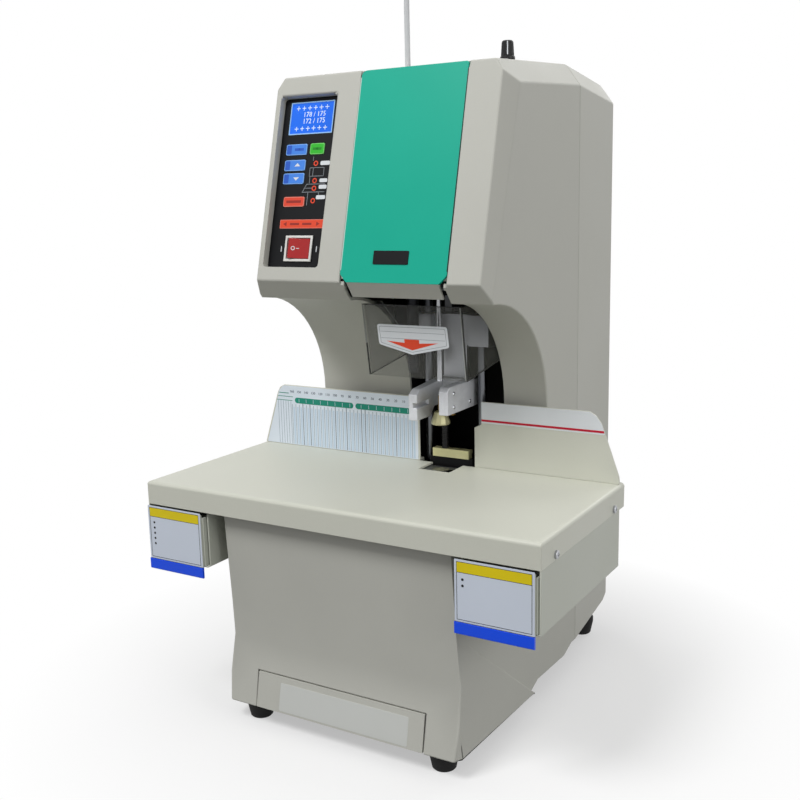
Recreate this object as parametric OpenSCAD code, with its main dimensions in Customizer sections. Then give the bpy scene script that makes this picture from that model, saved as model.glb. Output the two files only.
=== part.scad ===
// Document riveting machine: a hollow drill and a heated tube ram over a work table.
// Millimetres, +X right, +Y back, +Z up. The origin is on the bench under the middle of the machine.
// The paper fence stands in the plane y = 0.

/* [Work table] */
// Width of the table
table_w = 437; // [425:1:450]
// Depth of the table in front of the paper fence
table_d = 196; // [190:1:205]
// Height of the table's top face above the bench
table_h = 245.6; // [243:0.1:248]
// Thickness of the table sheet
table_t = 2; // [1.5:0.1:2.4]
// Height of the folded skirt round the table
skirt_h = 24; // [18:1:30]
// Radius of the folded edges
fold_r = 4; // [3:0.5:6]
// Height of the paper fence above the table
fence_h = 70.4; // [66:0.1:72]
// Thickness of the fence plates
fence_t = 2; // [1.5:0.1:2.2]
// Width of the gap between the two fence plates
fence_gap = 66; // [64:1:70]
// Slant of the fence's outer ends
fence_slant = 22; // [10:1:30]
// Step down of the right fence plate beside the gap
fence_notch_h = 26; // [20:1:32]
// Width of the cut-out over the drill pad
cutout_w = 36; // [34:1:40]
// Depth of the cut-out over the drill pad
cutout_d = 31; // [29:1:33]

/* [Casing] */
// Wall of the casing mouldings
wall = 3; // [2.4:0.2:3.6]
// Half width of the casing at its front
front_half = 129; // [127:0.5:131]
// Half width of the casing at the parting seam
seam_half = 139.5; // [138:0.5:141]
// Half width of the casing at its back
rear_half = 133; // [131:0.5:136]
// Place of the parting seam behind the fence
seam_y = 85; // [80:1:90]
// Place of the back face behind the fence
rear_y = 203; // [199:0.5:206]
// Distance of the base's front foot edge before the fence
base_front = 187; // [185:0.5:189]
// Setback of the base front at its crease
crease_in = 13; // [8:0.5:16]
// Height of the crease in the base front
crease_z = 88; // [82:1:94]
// Height of the casing's lower edge above the bench
base_z = 20; // [19:0.5:22]
// Height of the head's front top edge
head_z = 647; // [643:0.5:651]
// Height of the ridge at the parting seam
ridge_z = 655; // [653:0.5:657]
// Height of the roof's back edge
roof_rear_z = 645; // [640:0.5:648]
// Height where the back face meets its top chamfer
rear_top_z = 634; // [615:1:638]
// Distance of the head's top front edge before the fence
head_front = 66; // [64:0.5:68]
// Distance of the fold at the foot of the head's face before the fence
fold_front = 118; // [116:0.5:120]
// Height of that fold
fold_z = 447; // [445:0.5:449]
// Height of the chin under the fold
chin_z = 428; // [427:0.5:430]
// Radius of the arch between head and column
arch_r = 113; // [111:0.5:114]
// Half width of the head's face between its bevels
face_half = 125.5; // [123:0.5:127]
// Width of the face's side bevel, measured across
bevel_w = 7.5; // [5:0.5:9]
// Depth of the face's side bevel
bevel_d = 18; // [14:0.5:22]
// Width of the roof's side chamfer, measured across
roof_in = 16; // [12:0.5:18]
// Height of the roof's side chamfer
roof_chamfer = 22; // [18:0.5:26]
// Side flare at the foot of the base
flare = 5; // [2:0.5:5.5]
// Height of the flare
flare_h = 116; // [90:1:130]
// Distance of the flare's back end before the fence
flare_end = 26; // [20:1:40]
// Rise of the casing's lower edge behind the flare
edge_rise = 7; // [4:0.5:9]

/* [Head front] */
// Centre of the green cover, the bay and the guard, right of the middle
bay_x = 33; // [32:0.5:34]
// Half width of the bay's opening
bay_half = 55.8; // [55:0.1:57]
// Half width of the green cover
cover_half = 58; // [57:0.25:60]
// Thickness of the green cover
cover_t = 2.5; // [2:0.1:3]
// Half width of the cover's grey foot strip
strip_half = 50.5; // [48:0.5:52]
// Radius of the cover's hinge pin
hinge_r = 1.5; // [1.2:0.1:1.8]
// Length of the control recess down the face
panel_len = 173; // [170:1:176]
// Width of the control recess
panel_w = 67.5; // [66:0.5:69]
// Centre of the control recess, left of the middle
panel_x = 85.75; // [85:0.25:86.5]
// Distance of the recess from the head's top edge, down the face
panel_top = 20; // [18:0.5:22]
// Depth of the control recess
panel_deep = 8; // [7:0.5:9]
// Thickness of the fascia in the recess
fascia_t = 2; // [1.5:0.1:2.4]
// Height that a key stands proud of the fascia
key_proud = 0.8; // [0.7:0.1:1.2]
// Travel of a key
key_travel = 0.6; // [0.4:0.1:0.6]
// Depth of the guard's side panels
guard_d = 82; // [70:1:90]
// Thickness of the guard's clear sheet
guard_t = 2; // [1.5:0.1:2.5]
// Height of the guard's front panel
guard_h = 73; // [68:1:76]

/* [Tools] */
// Place of the hole right of the middle
hole_x = 28; // [27:0.5:29]
// Distance of the hole before the fence
hole_in = 16; // [15:0.5:17]
// Distance between the drill and the tube station
station_gap = 31; // [30:0.5:32]
// Outer radius of the hollow drill
drill_r = 3; // [2.6:0.1:3.2]
// Bore radius of the hollow drill
drill_bore = 2.1; // [1.7:0.1:2.2]
// Outer radius of the nylon rivet tube
tube_r = 2.75; // [2.5:0.05:2.9]
// Bore radius of the nylon rivet tube
tube_bore = 2.1; // [1.8:0.05:2.2]
// Height of the rivet tube's top end
tube_top = 745; // [730:1:760]
// Travel of the drill and of the ram
tool_travel = 94; // [88:1:94]
// Travel of the press foot, the thickest stack
stack_h = 46; // [42:0.5:46]
// Height of the press nozzle's face above the table
foot_gap = 46.4; // [46.4:0.1:47.4]
// Radius of the press foot's guide rods
rod_r = 5; // [4:0.25:5.5]
// Distance between the guide rods
rod_span = 64; // [63:0.5:66]
// Distance of the guide rods behind the fence
rod_y = 20; // [19:0.5:21]
// Radial running clearance of shafts and bushes
run = 0.05; // [0.03:0.01:0.08]
// Clearance between parts that slide past each other
slide_gap = 0.3; // [0.2:0.05:0.4]

/* [Drives] */
// Module of the racks and pinions
gear_m = 1.2; // [1:0.1:1.3]
// Teeth of a pinion
pinion_teeth = 20; // [20:1:22]
// Width of the racks and pinions
gear_w = 8; // [6:0.5:9]
// Radius of a lift motor
motor_r = 15; // [12:0.5:15.5]
// Radius of the drill motor
drill_motor_r = 14.5; // [13:0.25:15]

/* [Drawers and feet] */
// Width of a side drawer's housing
side_box_w = 76; // [72:0.5:78]
// Height of a side drawer's housing under the skirt
side_box_h = 57.6; // [54:0.2:60]
// Width of the left drawer's front plate
left_front_w = 70.5; // [68:0.5:74]
// Width of the right drawer's front plate
right_front_w = 75; // [70:0.5:78]
// Travel of the side drawers
side_travel = 150; // [120:1:160]
// Half width of the chip drawer's front
chip_half = 96.5; // [92:0.5:100]
// Height of the chip drawer's front
chip_h = 35.5; // [32:0.5:37]
// Travel of the chip drawer
chip_travel = 140; // [110:1:145]
// Height of the rubber feet
foot_h = 20; // [19:0.5:22]
// Radius of a foot at its top
foot_r = 14.5; // [12:0.5:16]
// Half distance between the feet, across
foot_x = 108; // [104:1:110]
// Distance of the front feet before the fence
foot_front = 165; // [160:1:170]
// Distance of the back feet behind the fence
foot_back = 186; // [180:1:188]

/* [Hidden] */
$fn = 64;

far = 300;                                     // reach of the cutters past the body
under_z = table_h - table_t;                   // underside of the table sheet
lean = atan((fold_front - head_front) / (head_z - fold_z));
hole_y = -hole_in;
tube_x = hole_x - station_gap;
column_y = arch_r - 103;
foot_bottom = table_h + foot_gap;
pitch = PI * gear_m;
pinion_r = gear_m * pinion_teeth / 2;
backlash = 0.3;
shell_grey = [0.73, 0.73, 0.70];
table_grey = [0.78, 0.79, 0.74];
steel = [0.72, 0.73, 0.75];
dark_steel = [0.25, 0.26, 0.28];

// ---- helpers -------------------------------------------------------------------------------------

// A box between two corners, given as ranges
module block(x, y, z) {
    translate([x[0], y[0], z[0]]) cube([x[1] - x[0], y[1] - y[0], z[1] - z[0]]);
}

// An outline in the Y-Z plane, extruded along X
module along_x(x0, x1) {
    translate([x0, 0, 0]) rotate([90, 0, 90]) linear_extrude(x1 - x0) children();
}

// An outline in the X-Z plane, extruded along Y
module along_y(y0, y1) {
    translate([0, y1, 0]) rotate([90, 0, 0]) linear_extrude(y1 - y0) children();
}

// The frame of the head's leaning face: X across, Y up the slope from its top edge, Z outwards
module on_face() {
    translate([0, -head_front, head_z]) rotate([90 - lean, 0, 0]) children();
}

module rod_x(y, z, r, x0, x1) {
    translate([x0, y, z]) rotate([0, 90, 0]) cylinder(r = r, h = x1 - x0);
}

module rod_y(x, z, r, y0, y1) {
    translate([x, y1, z]) rotate([90, 0, 0]) cylinder(r = r, h = y1 - y0);
}

module rod_z(x, y, r, z0, z1) {
    translate([x, y, z0]) cylinder(r = r, h = z1 - z0);
}

module both_sides() {
    children();
    mirror([1, 0, 0]) children();
}

// A closed outline, listed counter-clockwise, moved inwards by d
function inset(p, d) = let (n = len(p)) [for (i = [0:n - 1])
    let (a = p[(i + n - 1) % n], b = p[i], c = p[(i + 1) % n],
         u = (b - a) / norm(b - a), v = (c - b) / norm(c - b),
         m = [-u.y, u.x], q = [-v.y, v.x])
    b + d * (m + q) / (1 + m * q)];

// ---- casing outlines -----------------------------------------------------------------------------

// Seen from above
plan = [[-front_half, -base_front], [front_half, -base_front], [seam_half, seam_y], [rear_half, rear_y],
    [-rear_half, rear_y], [-seam_half, seam_y]];

// A roof chamfer seen along its edge: x = 0 on the casing's side, z = 0 on the ridge
chamfer_slope = roof_chamfer / roof_in;
eaves = [[-3 * far, -4 * far], [far, -4 * far], [far, -roof_chamfer - far * chamfer_slope],
    [-roof_in, 0], [-3 * far, 0]];
rear_slope_d = 4;
front_turn = atan((seam_half - front_half) / (base_front + seam_y));
rear_turn = -atan((seam_half - rear_half) / (rear_y - seam_y));
front_rise = atan((ridge_z - head_z) / (head_front + seam_y));
rear_rise = -atan((ridge_z - roof_rear_z) / (rear_y - rear_slope_d - seam_y));

// Across the leaning face, only its side bevels bind
bevel_slope = bevel_d / bevel_w;
face_plan = [[-far, -2 * far], [far, -2 * far], [far, -(far - face_half) * bevel_slope],
    [face_half, 0], [-face_half, 0], [-far, -(far - face_half) * bevel_slope]];

arch_pts = [for (a = [0:6:90]) [-103 + arch_r * sin(90 - a), chin_z - arch_r + arch_r * cos(90 - a)]];

// Side view of the head and column; low is where the outline ends at the bottom, back at the rear
function head_side(low, back) = concat(
    [[column_y, low], [back, low], [back, ridge_z + (back - seam_y) * tan(front_rise)], [-head_front, head_z],
     [-fold_front, fold_z]],
    [for (i = [len(arch_pts) - 1:-1:0]) arch_pts[i]]);

crease_slope = crease_in / (crease_z - base_z);

// Side view of the base's front part
function base_side(low, top, back) = [
    [-base_front, low], [-flare_end, low], [-flare_end + 16, low + edge_rise], [56, low + edge_rise],
    [76, low + seam_rise], [back, low + seam_rise],
    [back, top], [-base_front + 1, top], [-base_front + crease_in, crease_z]];
seam_rise = edge_rise + 8;

function base_side_open(low, top, back) = [
    [-base_front - (base_z - low) * crease_slope, low], [back, low],
    [back, top], [-base_front + 1 - (top - under_z) * 0.08, top], [-base_front + crease_in, crease_z]];

// Side view of the rear moulding
rear_side = [[seam_y, base_z + seam_rise], [rear_y - 12, base_z + seam_rise + 8], [rear_y, base_z + seam_rise + 14],
    [rear_y, rear_top_z], [rear_y - rear_slope_d, roof_rear_z], [seam_y, ridge_z]];
rear_side_open = [[seam_y - 60, base_z - 40], [rear_y, base_z - 40], [rear_y, rear_top_z],
    [rear_y - rear_slope_d, roof_rear_z], [seam_y, ridge_z],
    [seam_y - 60, ridge_z + 60 * (ridge_z - roof_rear_z) / (rear_y - rear_slope_d - seam_y)]];

module rear_form(side, d) {
    intersection() {
        casing_form(side, d);
        eaves_form(rear_turn, rear_rise, d);
        mirror([1, 0, 0]) eaves_form(rear_turn, rear_rise, d);
    }
}

module plan_form(d) {
    translate([0, 0, -far]) linear_extrude(4 * far) polygon(inset(plan, d));
}

// The body between its side view and its plan
module casing_form(side, d) {
    intersection() {
        along_x(-far, far) polygon(inset(side, d));
        plan_form(d);
    }
}

// The space inside one roof chamfer, on the right side
module eaves_form(turn, rise, d) {
    translate([seam_half, seam_y, ridge_z]) rotate([rise, 0, -turn]) along_y(-2 * far, 2 * far) polygon(inset(eaves, d));
}

module head_form(side, d) {
    intersection() {
        casing_form(side, d);
        eaves_form(front_turn, front_rise, d);
        mirror([1, 0, 0]) eaves_form(front_turn, front_rise, d);
        on_face() translate([0, far, 0]) rotate([90, 0, 0]) linear_extrude(4 * far) polygon(inset(face_plan, d));
    }
}

// ---- casings -------------------------------------------------------------------------------------

cover_len = (head_z - fold_z) / cos(lean);     // length of the leaning face
chip_top = base_z + 1 + chip_h;

module base_casing() {
    color(shell_grey) difference() {
        union() {
            casing_form(base_side(base_z, under_z, seam_y), 0);
            both_sides() base_flare();
        }
        casing_form(base_side_open(base_z - 30, under_z + 30, seam_y + 30), wall);
        along_y(-far, -base_front + 40) polygon([[-chip_half - 0.8, base_z - 1], [chip_half + 0.8, base_z - 1],
            [chip_half + 0.8, chip_top + 0.8], [-chip_half - 0.8, chip_top + 0.8]]);
    }
}

// The moulding spreads at its foot, most at the front corner
module base_flare() {
    function side_x(y) = front_half + (y + base_front) * tan(front_turn);
    intersection() {
        along_x(-far, far) polygon(base_side(base_z, under_z, seam_y));
        hull() {
            translate([front_half - 2, -base_front, base_z]) cube([2, 12, flare_h + 1]);
            translate([front_half - 2, -base_front, base_z]) cube([2.6, 1, 0.5]);
            translate([front_half - 2, -base_front + 9, base_z]) cube([side_x(-base_front + 9) - front_half + 2 + flare, 1, 0.5]);
            translate([front_half - 2, -flare_end - 1, base_z]) cube([side_x(-flare_end) - front_half + 2 + flare * 0.8, 1, 0.5]);
        }
    }
}

module front_casing() {
    color(shell_grey) {
        difference() {
            head_form(head_side(under_z, seam_y), 0);
            head_form(head_side(under_z - 30, seam_y + 30), wall);
            front_openings();
        }
        panel_pocket();
        cover_seat();
    }
}

cover_room = 0.4;                              // clearance round the cover
seat_z = -cover_t - cover_room - 0.3;
hinge_room = 5.3;                              // radius that the cover's top edge sweeps

// A ledge behind the cover's edges and two cheeks that hold the hinge pin
module cover_seat() {
    w = 2 * (cover_half + cover_room);
    difference() {
        on_face() {
            difference() {
                translate([bay_x - w / 2 - hinge_hold, -cover_len + 4, seat_z - 3])
                    cube([w + 2 * hinge_hold, cover_len - 16, 5.4]);
                translate([bay_x - w / 2, -cover_len, seat_z]) cube([w, cover_len, 10]);
                translate([bay_x - cover_half + 5, -cover_len - 1, -20]) cube([2 * cover_half - 10, cover_len - 19, 40]);
            }
            for (x = [bay_x - w / 2 - hinge_hold - 1, bay_x + w / 2]) translate([x, -14, -8]) cube([hinge_hold + 1, 13.7, 6.8]);
        }
        rod_x(hinge_y, hinge_z, hinge_r, bay_x - cover_half - hinge_hold, bay_x + cover_half + hinge_hold);
    }
}

// The bay behind the cover and guard, the control recess, the tube's slot, the knob's and the pin's holes
module front_openings() {
    block([bay_x - bay_half, bay_x + bay_half], [-far, column_y + 2 * wall], [under_z - 1, fold_z - 6]);
    on_face() {
        translate([bay_x - cover_half - cover_room, -cover_len - 40, seat_z]) cube([2 * (cover_half + cover_room), cover_len + 60, 20]);
        translate([bay_x - cover_half + 5, -cover_len + 4, -20]) cube([2 * cover_half - 10, cover_len - 24, 40]);
        translate([-panel_x - panel_w / 2, -panel_top - panel_len, -20]) cube([panel_w, panel_len, 40]);
    }
    block([bay_x - strip_half - 4, bay_x + strip_half + 4], [-far, -fold_front + 30], [chin_z - 20, fold_z + 4]);
    for (x = [tube_x, hole_x]) rod_z(x, hole_y, tube_r + 1.6, head_z - 20, ridge_z + 5);
    block([tube_x, hole_x], [hole_y - tube_r - 1.6, hole_y + tube_r + 1.6], [head_z - 20, ridge_z + 5]);
    rod_z(knob_x, knob_y, knob_shaft_r + 0.5, head_z - 20, ridge_z + 5);
    rod_x(hinge_y, hinge_z, hinge_r, bay_x - cover_half - hinge_hold, bay_x + cover_half + hinge_hold);
    rod_x(hinge_y, hinge_z, hinge_room, bay_x - cover_half - 2 * cover_room, bay_x + cover_half + 2 * cover_room);
}

// The walls of the control recess, moulded inside the face
module panel_pocket() {
    on_face() difference() {
        translate([-panel_x - panel_w / 2 - 2, -panel_top - panel_len - 2, -panel_deep - fascia_t])
            cube([panel_w + 4, panel_len + 4, panel_deep + fascia_t - wall + 0.5]);
        translate([-panel_x - panel_w / 2, -panel_top - panel_len, -50]) cube([panel_w, panel_len, 100]);
    }
}

module rear_casing() {
    color(shell_grey * 0.98) difference() {
        rear_form(rear_side, 0);
        rear_form(rear_side_open, wall);
        block([inlet_x - 14, inlet_x + 14], [rear_y - 20, rear_y + 20], [inlet_z - 10.2, inlet_z + 10.2]);
        for (i = [0:7]) block([-40, 40], [rear_y - 20, rear_y + 20], [vent_z + 8 * i, vent_z + 8 * i + 4]);
    }
}

vent_z = 520;
inlet_x = -90;
inlet_z = 80;

module mains_inlet() {
    color([0.08, 0.08, 0.09]) difference() {
        union() {
            block([inlet_x - 13.8, inlet_x + 13.8], [rear_y - 24, rear_y], [inlet_z - 10, inlet_z + 10]);
            block([inlet_x - 24, inlet_x + 24], [rear_y, rear_y + 2], [inlet_z - 14, inlet_z + 14]);
        }
        block([inlet_x - 12, inlet_x + 12], [rear_y - 16, rear_y + 9], [inlet_z - 8, inlet_z + 8]);
    }
}

// ---- base, frame and deck ------------------------------------------------------------------------

plate_t = 3;

plate_half = 118;

// A flat plate inside the casing's foot, with a rim where the casing's lower edge rises
module bottom_plate() {
    color(dark_steel) {
        intersection() {
            block([-far, far], [-base_front + wall + 3, -flare_end - 4], [base_z, base_z + plate_t]);
            plan_form(wall + slide_gap);
        }
        block([-plate_half, plate_half], [-flare_end - 4, rear_y - 10], [base_z, base_z + plate_t]);
        both_sides() block([plate_half - 2, plate_half], [-flare_end - 4, rear_y - 10], [base_z, base_z + seam_rise + 16]);
        block([-plate_half, plate_half], [rear_y - 12, rear_y - 10], [base_z, base_z + seam_rise + 16]);
    }
}

module feet() {
    color([0.06, 0.06, 0.06]) both_sides() for (y = [-foot_front, foot_back]) translate([foot_x, y, 0]) {
        rotate_extrude() polygon([[0, 0], [foot_r * 0.72, 0], [foot_r * 0.8, 1.2], [foot_r, foot_h * 0.75],
            [foot_r, base_z], [0, base_z]]);
    }
}

frame_x0 = -60;
frame_x1 = 115.6;
frame_t = 3;
frame_y0 = 40;
frame_y1 = 96;
frame_top = 600;
deck_z = under_z - 17.6;                       // underside of the lower deck
deck_t = 6;
deck_front = -45;
bridge_z = 424;
bridge_t = 8;
rod_x0 = hole_x - 1 - rod_span / 2;
rod_x1 = hole_x - 1 + rod_span / 2;
cross_y = 52;
cross_z = [468, 580];
cross_r = 5;
plate_z = base_z + plate_t;

// A welded frame: back web, two side flanges with forward arms, and the bridge over the guide rods
module column_frame() {
    color(dark_steel) difference() {
        union() {
            block([frame_x0, frame_x1], [frame_y1, frame_y1 + 6], [plate_z, frame_top]);
            for (x = [frame_x0, frame_x1 - frame_t]) {
                block([x, x + frame_t], [frame_y0, frame_y1], [plate_z, frame_top]);
                block([x, x + frame_t], [deck_front, frame_y0], [deck_z - 60, deck_z]);
            }
            block([frame_x0, frame_x1], [rod_y - 10, frame_y0 + 20], [bridge_z, bridge_z + bridge_t]);
        }
        for (x = [rod_x0, rod_x1]) rod_z(x, rod_y, rod_r, bridge_z - 1, bridge_z + bridge_t + 1);
        block([press_rack_x - 5, press_rack_x + 5], [rod_y + 10, frame_y0 + 8], [bridge_z - 1, bridge_z + bridge_t + 1]);
        for (z = cross_z) rod_x(cross_y, z, cross_r, frame_x0 - 1, frame_x1 + 1);
        rod_x(cross_y, solenoid_z, 8, frame_x0 - 1, frame_x0 + frame_t + 1);
    }
}

rail_h = 8;
die_front = hole_y - 15;
die_back = hole_y + 15;

module lower_deck() {
    color(dark_steel) difference() {
        union() {
            block([frame_x0, frame_x1], [deck_front, frame_y0], [deck_z, deck_z + deck_t]);
            block([frame_x0 + frame_t, frame_x1 - frame_t], [frame_y0, frame_y1], [deck_z, deck_z + deck_t]);
            block([-52, 92], [die_front - slide_gap - 3, die_front - slide_gap], [deck_z + deck_t, deck_z + deck_t + rail_h]);
            block([-52, 92], [die_back + slide_gap, die_back + slide_gap + 2], [deck_z + deck_t, deck_z + deck_t + rail_h]);
        }
        block([chute_x0 + 2, chute_x1 - 2], [chute_y0 + 2, chute_y1 - 2], [deck_z - 1, deck_z + deck_t + 1]);
    }
}

chute_x0 = 84;
chute_x1 = 112;
chute_y0 = -42;
chute_y1 = -4;

module chip_chute() {
    color(steel) difference() {
        block([chute_x0, chute_x1], [chute_y0, chute_y1], [chip_top + 6, deck_z]);
        block([chute_x0 + 1.5, chute_x1 - 1.5], [chute_y0 + 1.5, chute_y1 - 1.5], [chip_top, deck_z + 1]);
    }
}

module guide_rods() {
    color(steel) for (x = [rod_x0, rod_x1]) rod_z(x, rod_y, rod_r, deck_z + deck_t, bridge_z + bridge_t);
}

stop_y0 = 4.5;
stop_y1 = 13.5;
stop_z = table_h + 6;

module stop_block() {
    color(dark_steel) block([hole_x - 24, hole_x + 26], [stop_y0, stop_y1], [deck_z + deck_t, stop_z]);
}

module stop_strip() {
    color([0.80, 0.72, 0.42]) block([hole_x - 21, hole_x + 22], [stop_y0 - 1, stop_y1 - 1], [stop_z, stop_z + 9]);
}

// A ribbed clamping screw that stands on the strip
module stop_screw() {
    color([0.07, 0.07, 0.08]) translate([hole_x - 8, stop_y0 + 3.5, stop_z + 9]) {
        for (i = [0:5]) translate([0, 0, 4.2 * i]) {
            cylinder(r = 3.6, h = 2.8);
            translate([0, 0, 2.8]) cylinder(r = 3, h = 1.4);
        }
    }
}

// ---- table, fence and side boxes -----------------------------------------------------------------

// A tray outline with two rounded top corners, from -w to w and down to z0
module tray_outline(w0, w1, z0, z1, r) {
    difference() {
        translate([w0, z0]) square([w1 - w0, z1 - z0]);
        translate([w0, z1 - r]) square(r);
        translate([w1 - r, z1 - r]) square(r);
    }
    translate([w0 + r, z1 - r]) circle(r);
    translate([w1 - r, z1 - r]) circle(r);
}

module tray_form(d) {
    r = fold_r - d;
    intersection() {
        along_y(-table_d + d, table_back) tray_outline(-table_w / 2 + d, table_w / 2 - d, table_h - skirt_h - d, table_h - d, r);
        along_x(-far, far) tray_outline(-table_d + d, 40, table_h - skirt_h - d, table_h - d, r);
    }
}

module work_table() {
    color(table_grey) difference() {
        tray_form(0);
        tray_form(table_t);
        block([-table_w / 2 + table_t, table_w / 2 - table_t], [table_back - 5, table_back + 1],
            [table_h - skirt_h - 1, under_z - fold_r]);
        block([hole_x - 1 - cutout_w / 2, hole_x - 1 + cutout_w / 2], [-cutout_d, 1], [under_z - 1, table_h + 1]);
        block([gap_x0, gap_x1], [0, table_back + 1], [under_z - 1, table_h + 1]);
        for (y = screw_ys) both_sides() rod_x(y, screw_z, 2, table_w / 2 - 8, table_w / 2 + 1);
    }
}

screw_ys = [-165, -20];
screw_z = table_h - 19;
gap_x0 = hole_x - 2 - fence_gap / 2;
gap_x1 = hole_x - 2 + fence_gap / 2;
table_back = column_y - slide_gap;

// Two angle plates on the table, with slanted outer ends and the gap for the tools between them
module fence() {
    top = table_h + fence_h;
    end = table_w / 2 - 1.5;
    color(table_grey) {
        along_y(0, fence_t) polygon([[-end, table_h], [gap_x0, table_h], [gap_x0, top],
            [-end + fence_slant + 8, top], [-end + fence_slant + 2, top - 3],
            [-end + fence_slant - 2, top - 10]]);
        block([-end + 4, gap_x0], [fence_t, table_back - 0.2], [table_h, table_h + fence_t]);
        along_y(0, fence_t) polygon([[gap_x1, table_h], [end, table_h], [end - 1, table_h + 8],
            [end - fence_slant + 3, top - 12], [end - fence_slant - 3, top - 4],
            [end - fence_slant - 10, top], [gap_x1 + 8, top], [gap_x1 + 8, top - fence_notch_h + 2],
            [gap_x1, top - fence_notch_h - 2]]);
        block([gap_x1, end - 4], [fence_t, table_back - 0.2], [table_h, table_h + fence_t]);
    }
}

box_x1 = table_w / 2;
box_x0 = box_x1 - side_box_w;
box_top = table_h - skirt_h;
box_z = box_top - side_box_h;
sheet = 1.5;

module drawer_housings() {
    color(table_grey) both_sides() {
        block([box_x0, box_x1], [-table_d, -4], [box_z, box_z + sheet]);
        block([box_x1 - sheet, box_x1], [-table_d, -4], [box_z + sheet, box_top]);
        block([box_x0, box_x0 + sheet], [-table_d + 4, -4], [box_z + sheet, under_z]);
        block([box_x0 + sheet, box_x1 - sheet], [-4 - sheet, -4], [box_z + sheet, box_top]);
    }
}

// A steel tray with a front plate and a finger lip that hangs under it
module side_drawer(front_x0, front_x1) {
    x0 = box_x0 + sheet + 1;
    x1 = box_x1 - sheet - 1;
    y0 = -table_d - slide_gap;
    color(table_grey) difference() {
        block([x0, x1], [y0, -12], [box_z + sheet + slide_gap, box_top - 6]);
        block([x0 + sheet, x1 - sheet], [y0 + sheet, -12 - sheet], [box_z + 2 * sheet + slide_gap, box_top]);
    }
    color("white") block([front_x0, front_x1], [y0 - 2, y0], [box_z, box_top - 3]);
    color("royalblue") block([front_x0, front_x1], [y0 - 3, y0 - 1], [box_z - 11, box_z]);
}

module left_drawer() mirror([1, 0, 0]) side_drawer(box_x1 - 1 - left_front_w, box_x1 - 1);
module right_drawer() side_drawer(box_x1 - 4.5 - right_front_w, box_x1 - 4.5);

module chip_drawer() {
    y0 = -base_front;
    inner = chip_half - 6;
    // the tray's front leans with the front plate and stays inside its thickness
    tray_z0 = plate_z + slide_gap;
    tray_z1 = chip_top - 2;
    tray_y0 = y0 + wall / 2 + (tray_z0 - base_z - 1) * crease_slope;
    tray_y1 = y0 + wall / 2 + (tray_z1 - base_z - 1) * crease_slope;
    color(shell_grey) {
        along_x(-chip_half, chip_half) polygon([[y0, base_z + 1], [y0 + wall, base_z + 1],
            [y0 + wall + chip_h * crease_slope, chip_top], [y0 + chip_h * crease_slope, chip_top]]);
        difference() {
            along_x(-inner, inner) polygon([[tray_y0, tray_z0], [-24, tray_z0], [-24, tray_z1], [tray_y1, tray_z1]]);
            block([-inner + 2, inner - 2], [y0 + wall + 8, -26], [plate_z + slide_gap + 2, chip_top]);
        }
    }
}

module screws() {
    color(steel) {
        both_sides() for (y = screw_ys) {
            rod_x(y, screw_z, 2, table_w / 2 - table_t - 6, table_w / 2);
            rod_x(y, screw_z, 3.8, table_w / 2, table_w / 2 + 1.8);
        }
        both_sides() for (z = [120, 400, 590]) rod_y(rear_half - 14, z, 3.8, rear_y, rear_y + 1.8);
    }
}

// ---- head front ----------------------------------------------------------------------------------

hinge_y = -head_front + 2.6;
hinge_z = head_z - 4.2;
hinge_hold = 6;

// The green cover: a leaning sheet, a short fold back, a grey foot strip and a hinge roll at its top
module front_cover() {
    w0 = bay_x - cover_half;
    w1 = bay_x + cover_half;
    color([0.14, 0.70, 0.58]) difference() {
        union() {
            on_face() translate([0, 0, -cover_t]) linear_extrude(cover_t) polygon([[bay_x - strip_half, -cover_len],
                [bay_x + strip_half, -cover_len], [w1, -cover_len + 8], [w1, -0.5], [w0, -0.5], [w0, -cover_len + 8]]);
            rod_x(hinge_y, hinge_z, hinge_r + 1.1, w0 + 6, w1 - 6);
        }
        rod_x(hinge_y, hinge_z, hinge_r + run, w0 - 1, w1 + 1);
    }
    color(shell_grey) along_x(bay_x - strip_half + 0.5, bay_x + strip_half - 0.5)
        polygon([[-fold_front + 0.4, fold_z - 0.1], [-fold_front + 11, fold_z - 15], [-fold_front + 13, fold_z - 14],
            [-fold_front + 2.5, fold_z + 1.6], [-fold_front + 0.9, fold_z + 1.9]]);
}

module cover_hinge_pin() {
    color(steel) rod_x(hinge_y, hinge_z, hinge_r, bay_x - cover_half - hinge_hold, bay_x + cover_half + hinge_hold);
}

guard_top = chin_z - 5;
guard_x0 = bay_x - bay_half;
guard_x1 = bay_x + bay_half;

module guard() {
    slant = 11 / guard_h;
    side = [[-72, guard_top - guard_h], [-72 + guard_d * 0.9, guard_top - guard_h + 11],
        [-72 + guard_d * 0.9, guard_top - 42], [-48, guard_top], [-83, guard_top]];
    color([0.45, 0.47, 0.48, 0.45]) difference() {
        along_x(guard_x0, guard_x1) polygon(side);
        along_x(guard_x0 + guard_t, guard_x1 - guard_t) polygon([[-72 + guard_t + 30 * slant, guard_top - guard_h - 30],
            [far, guard_top - guard_h - 30], [far, guard_top + 30], [-83 + guard_t - 30 * slant, guard_top + 30]]);
    }
}

// Dark side sheets inside the bay
module bay_cheeks() {
    r = arch_r + wall + 0.6;
    cheek = concat([[column_y + wall, deck_z + deck_t], [frame_y0 - 2, deck_z + deck_t],
        [frame_y0 - 2, chin_z - arch_r + r * sin(44)]],
        [for (a = [44:-11:0]) [-103 + r * cos(a), chin_z - arch_r + r * sin(a)]]);
    color([0.10, 0.10, 0.10]) {
        along_x(guard_x0 - 2, guard_x0) polygon(cheek);
        along_x(guard_x1, guard_x1 + 2) polygon(cheek);
    }
}

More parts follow.
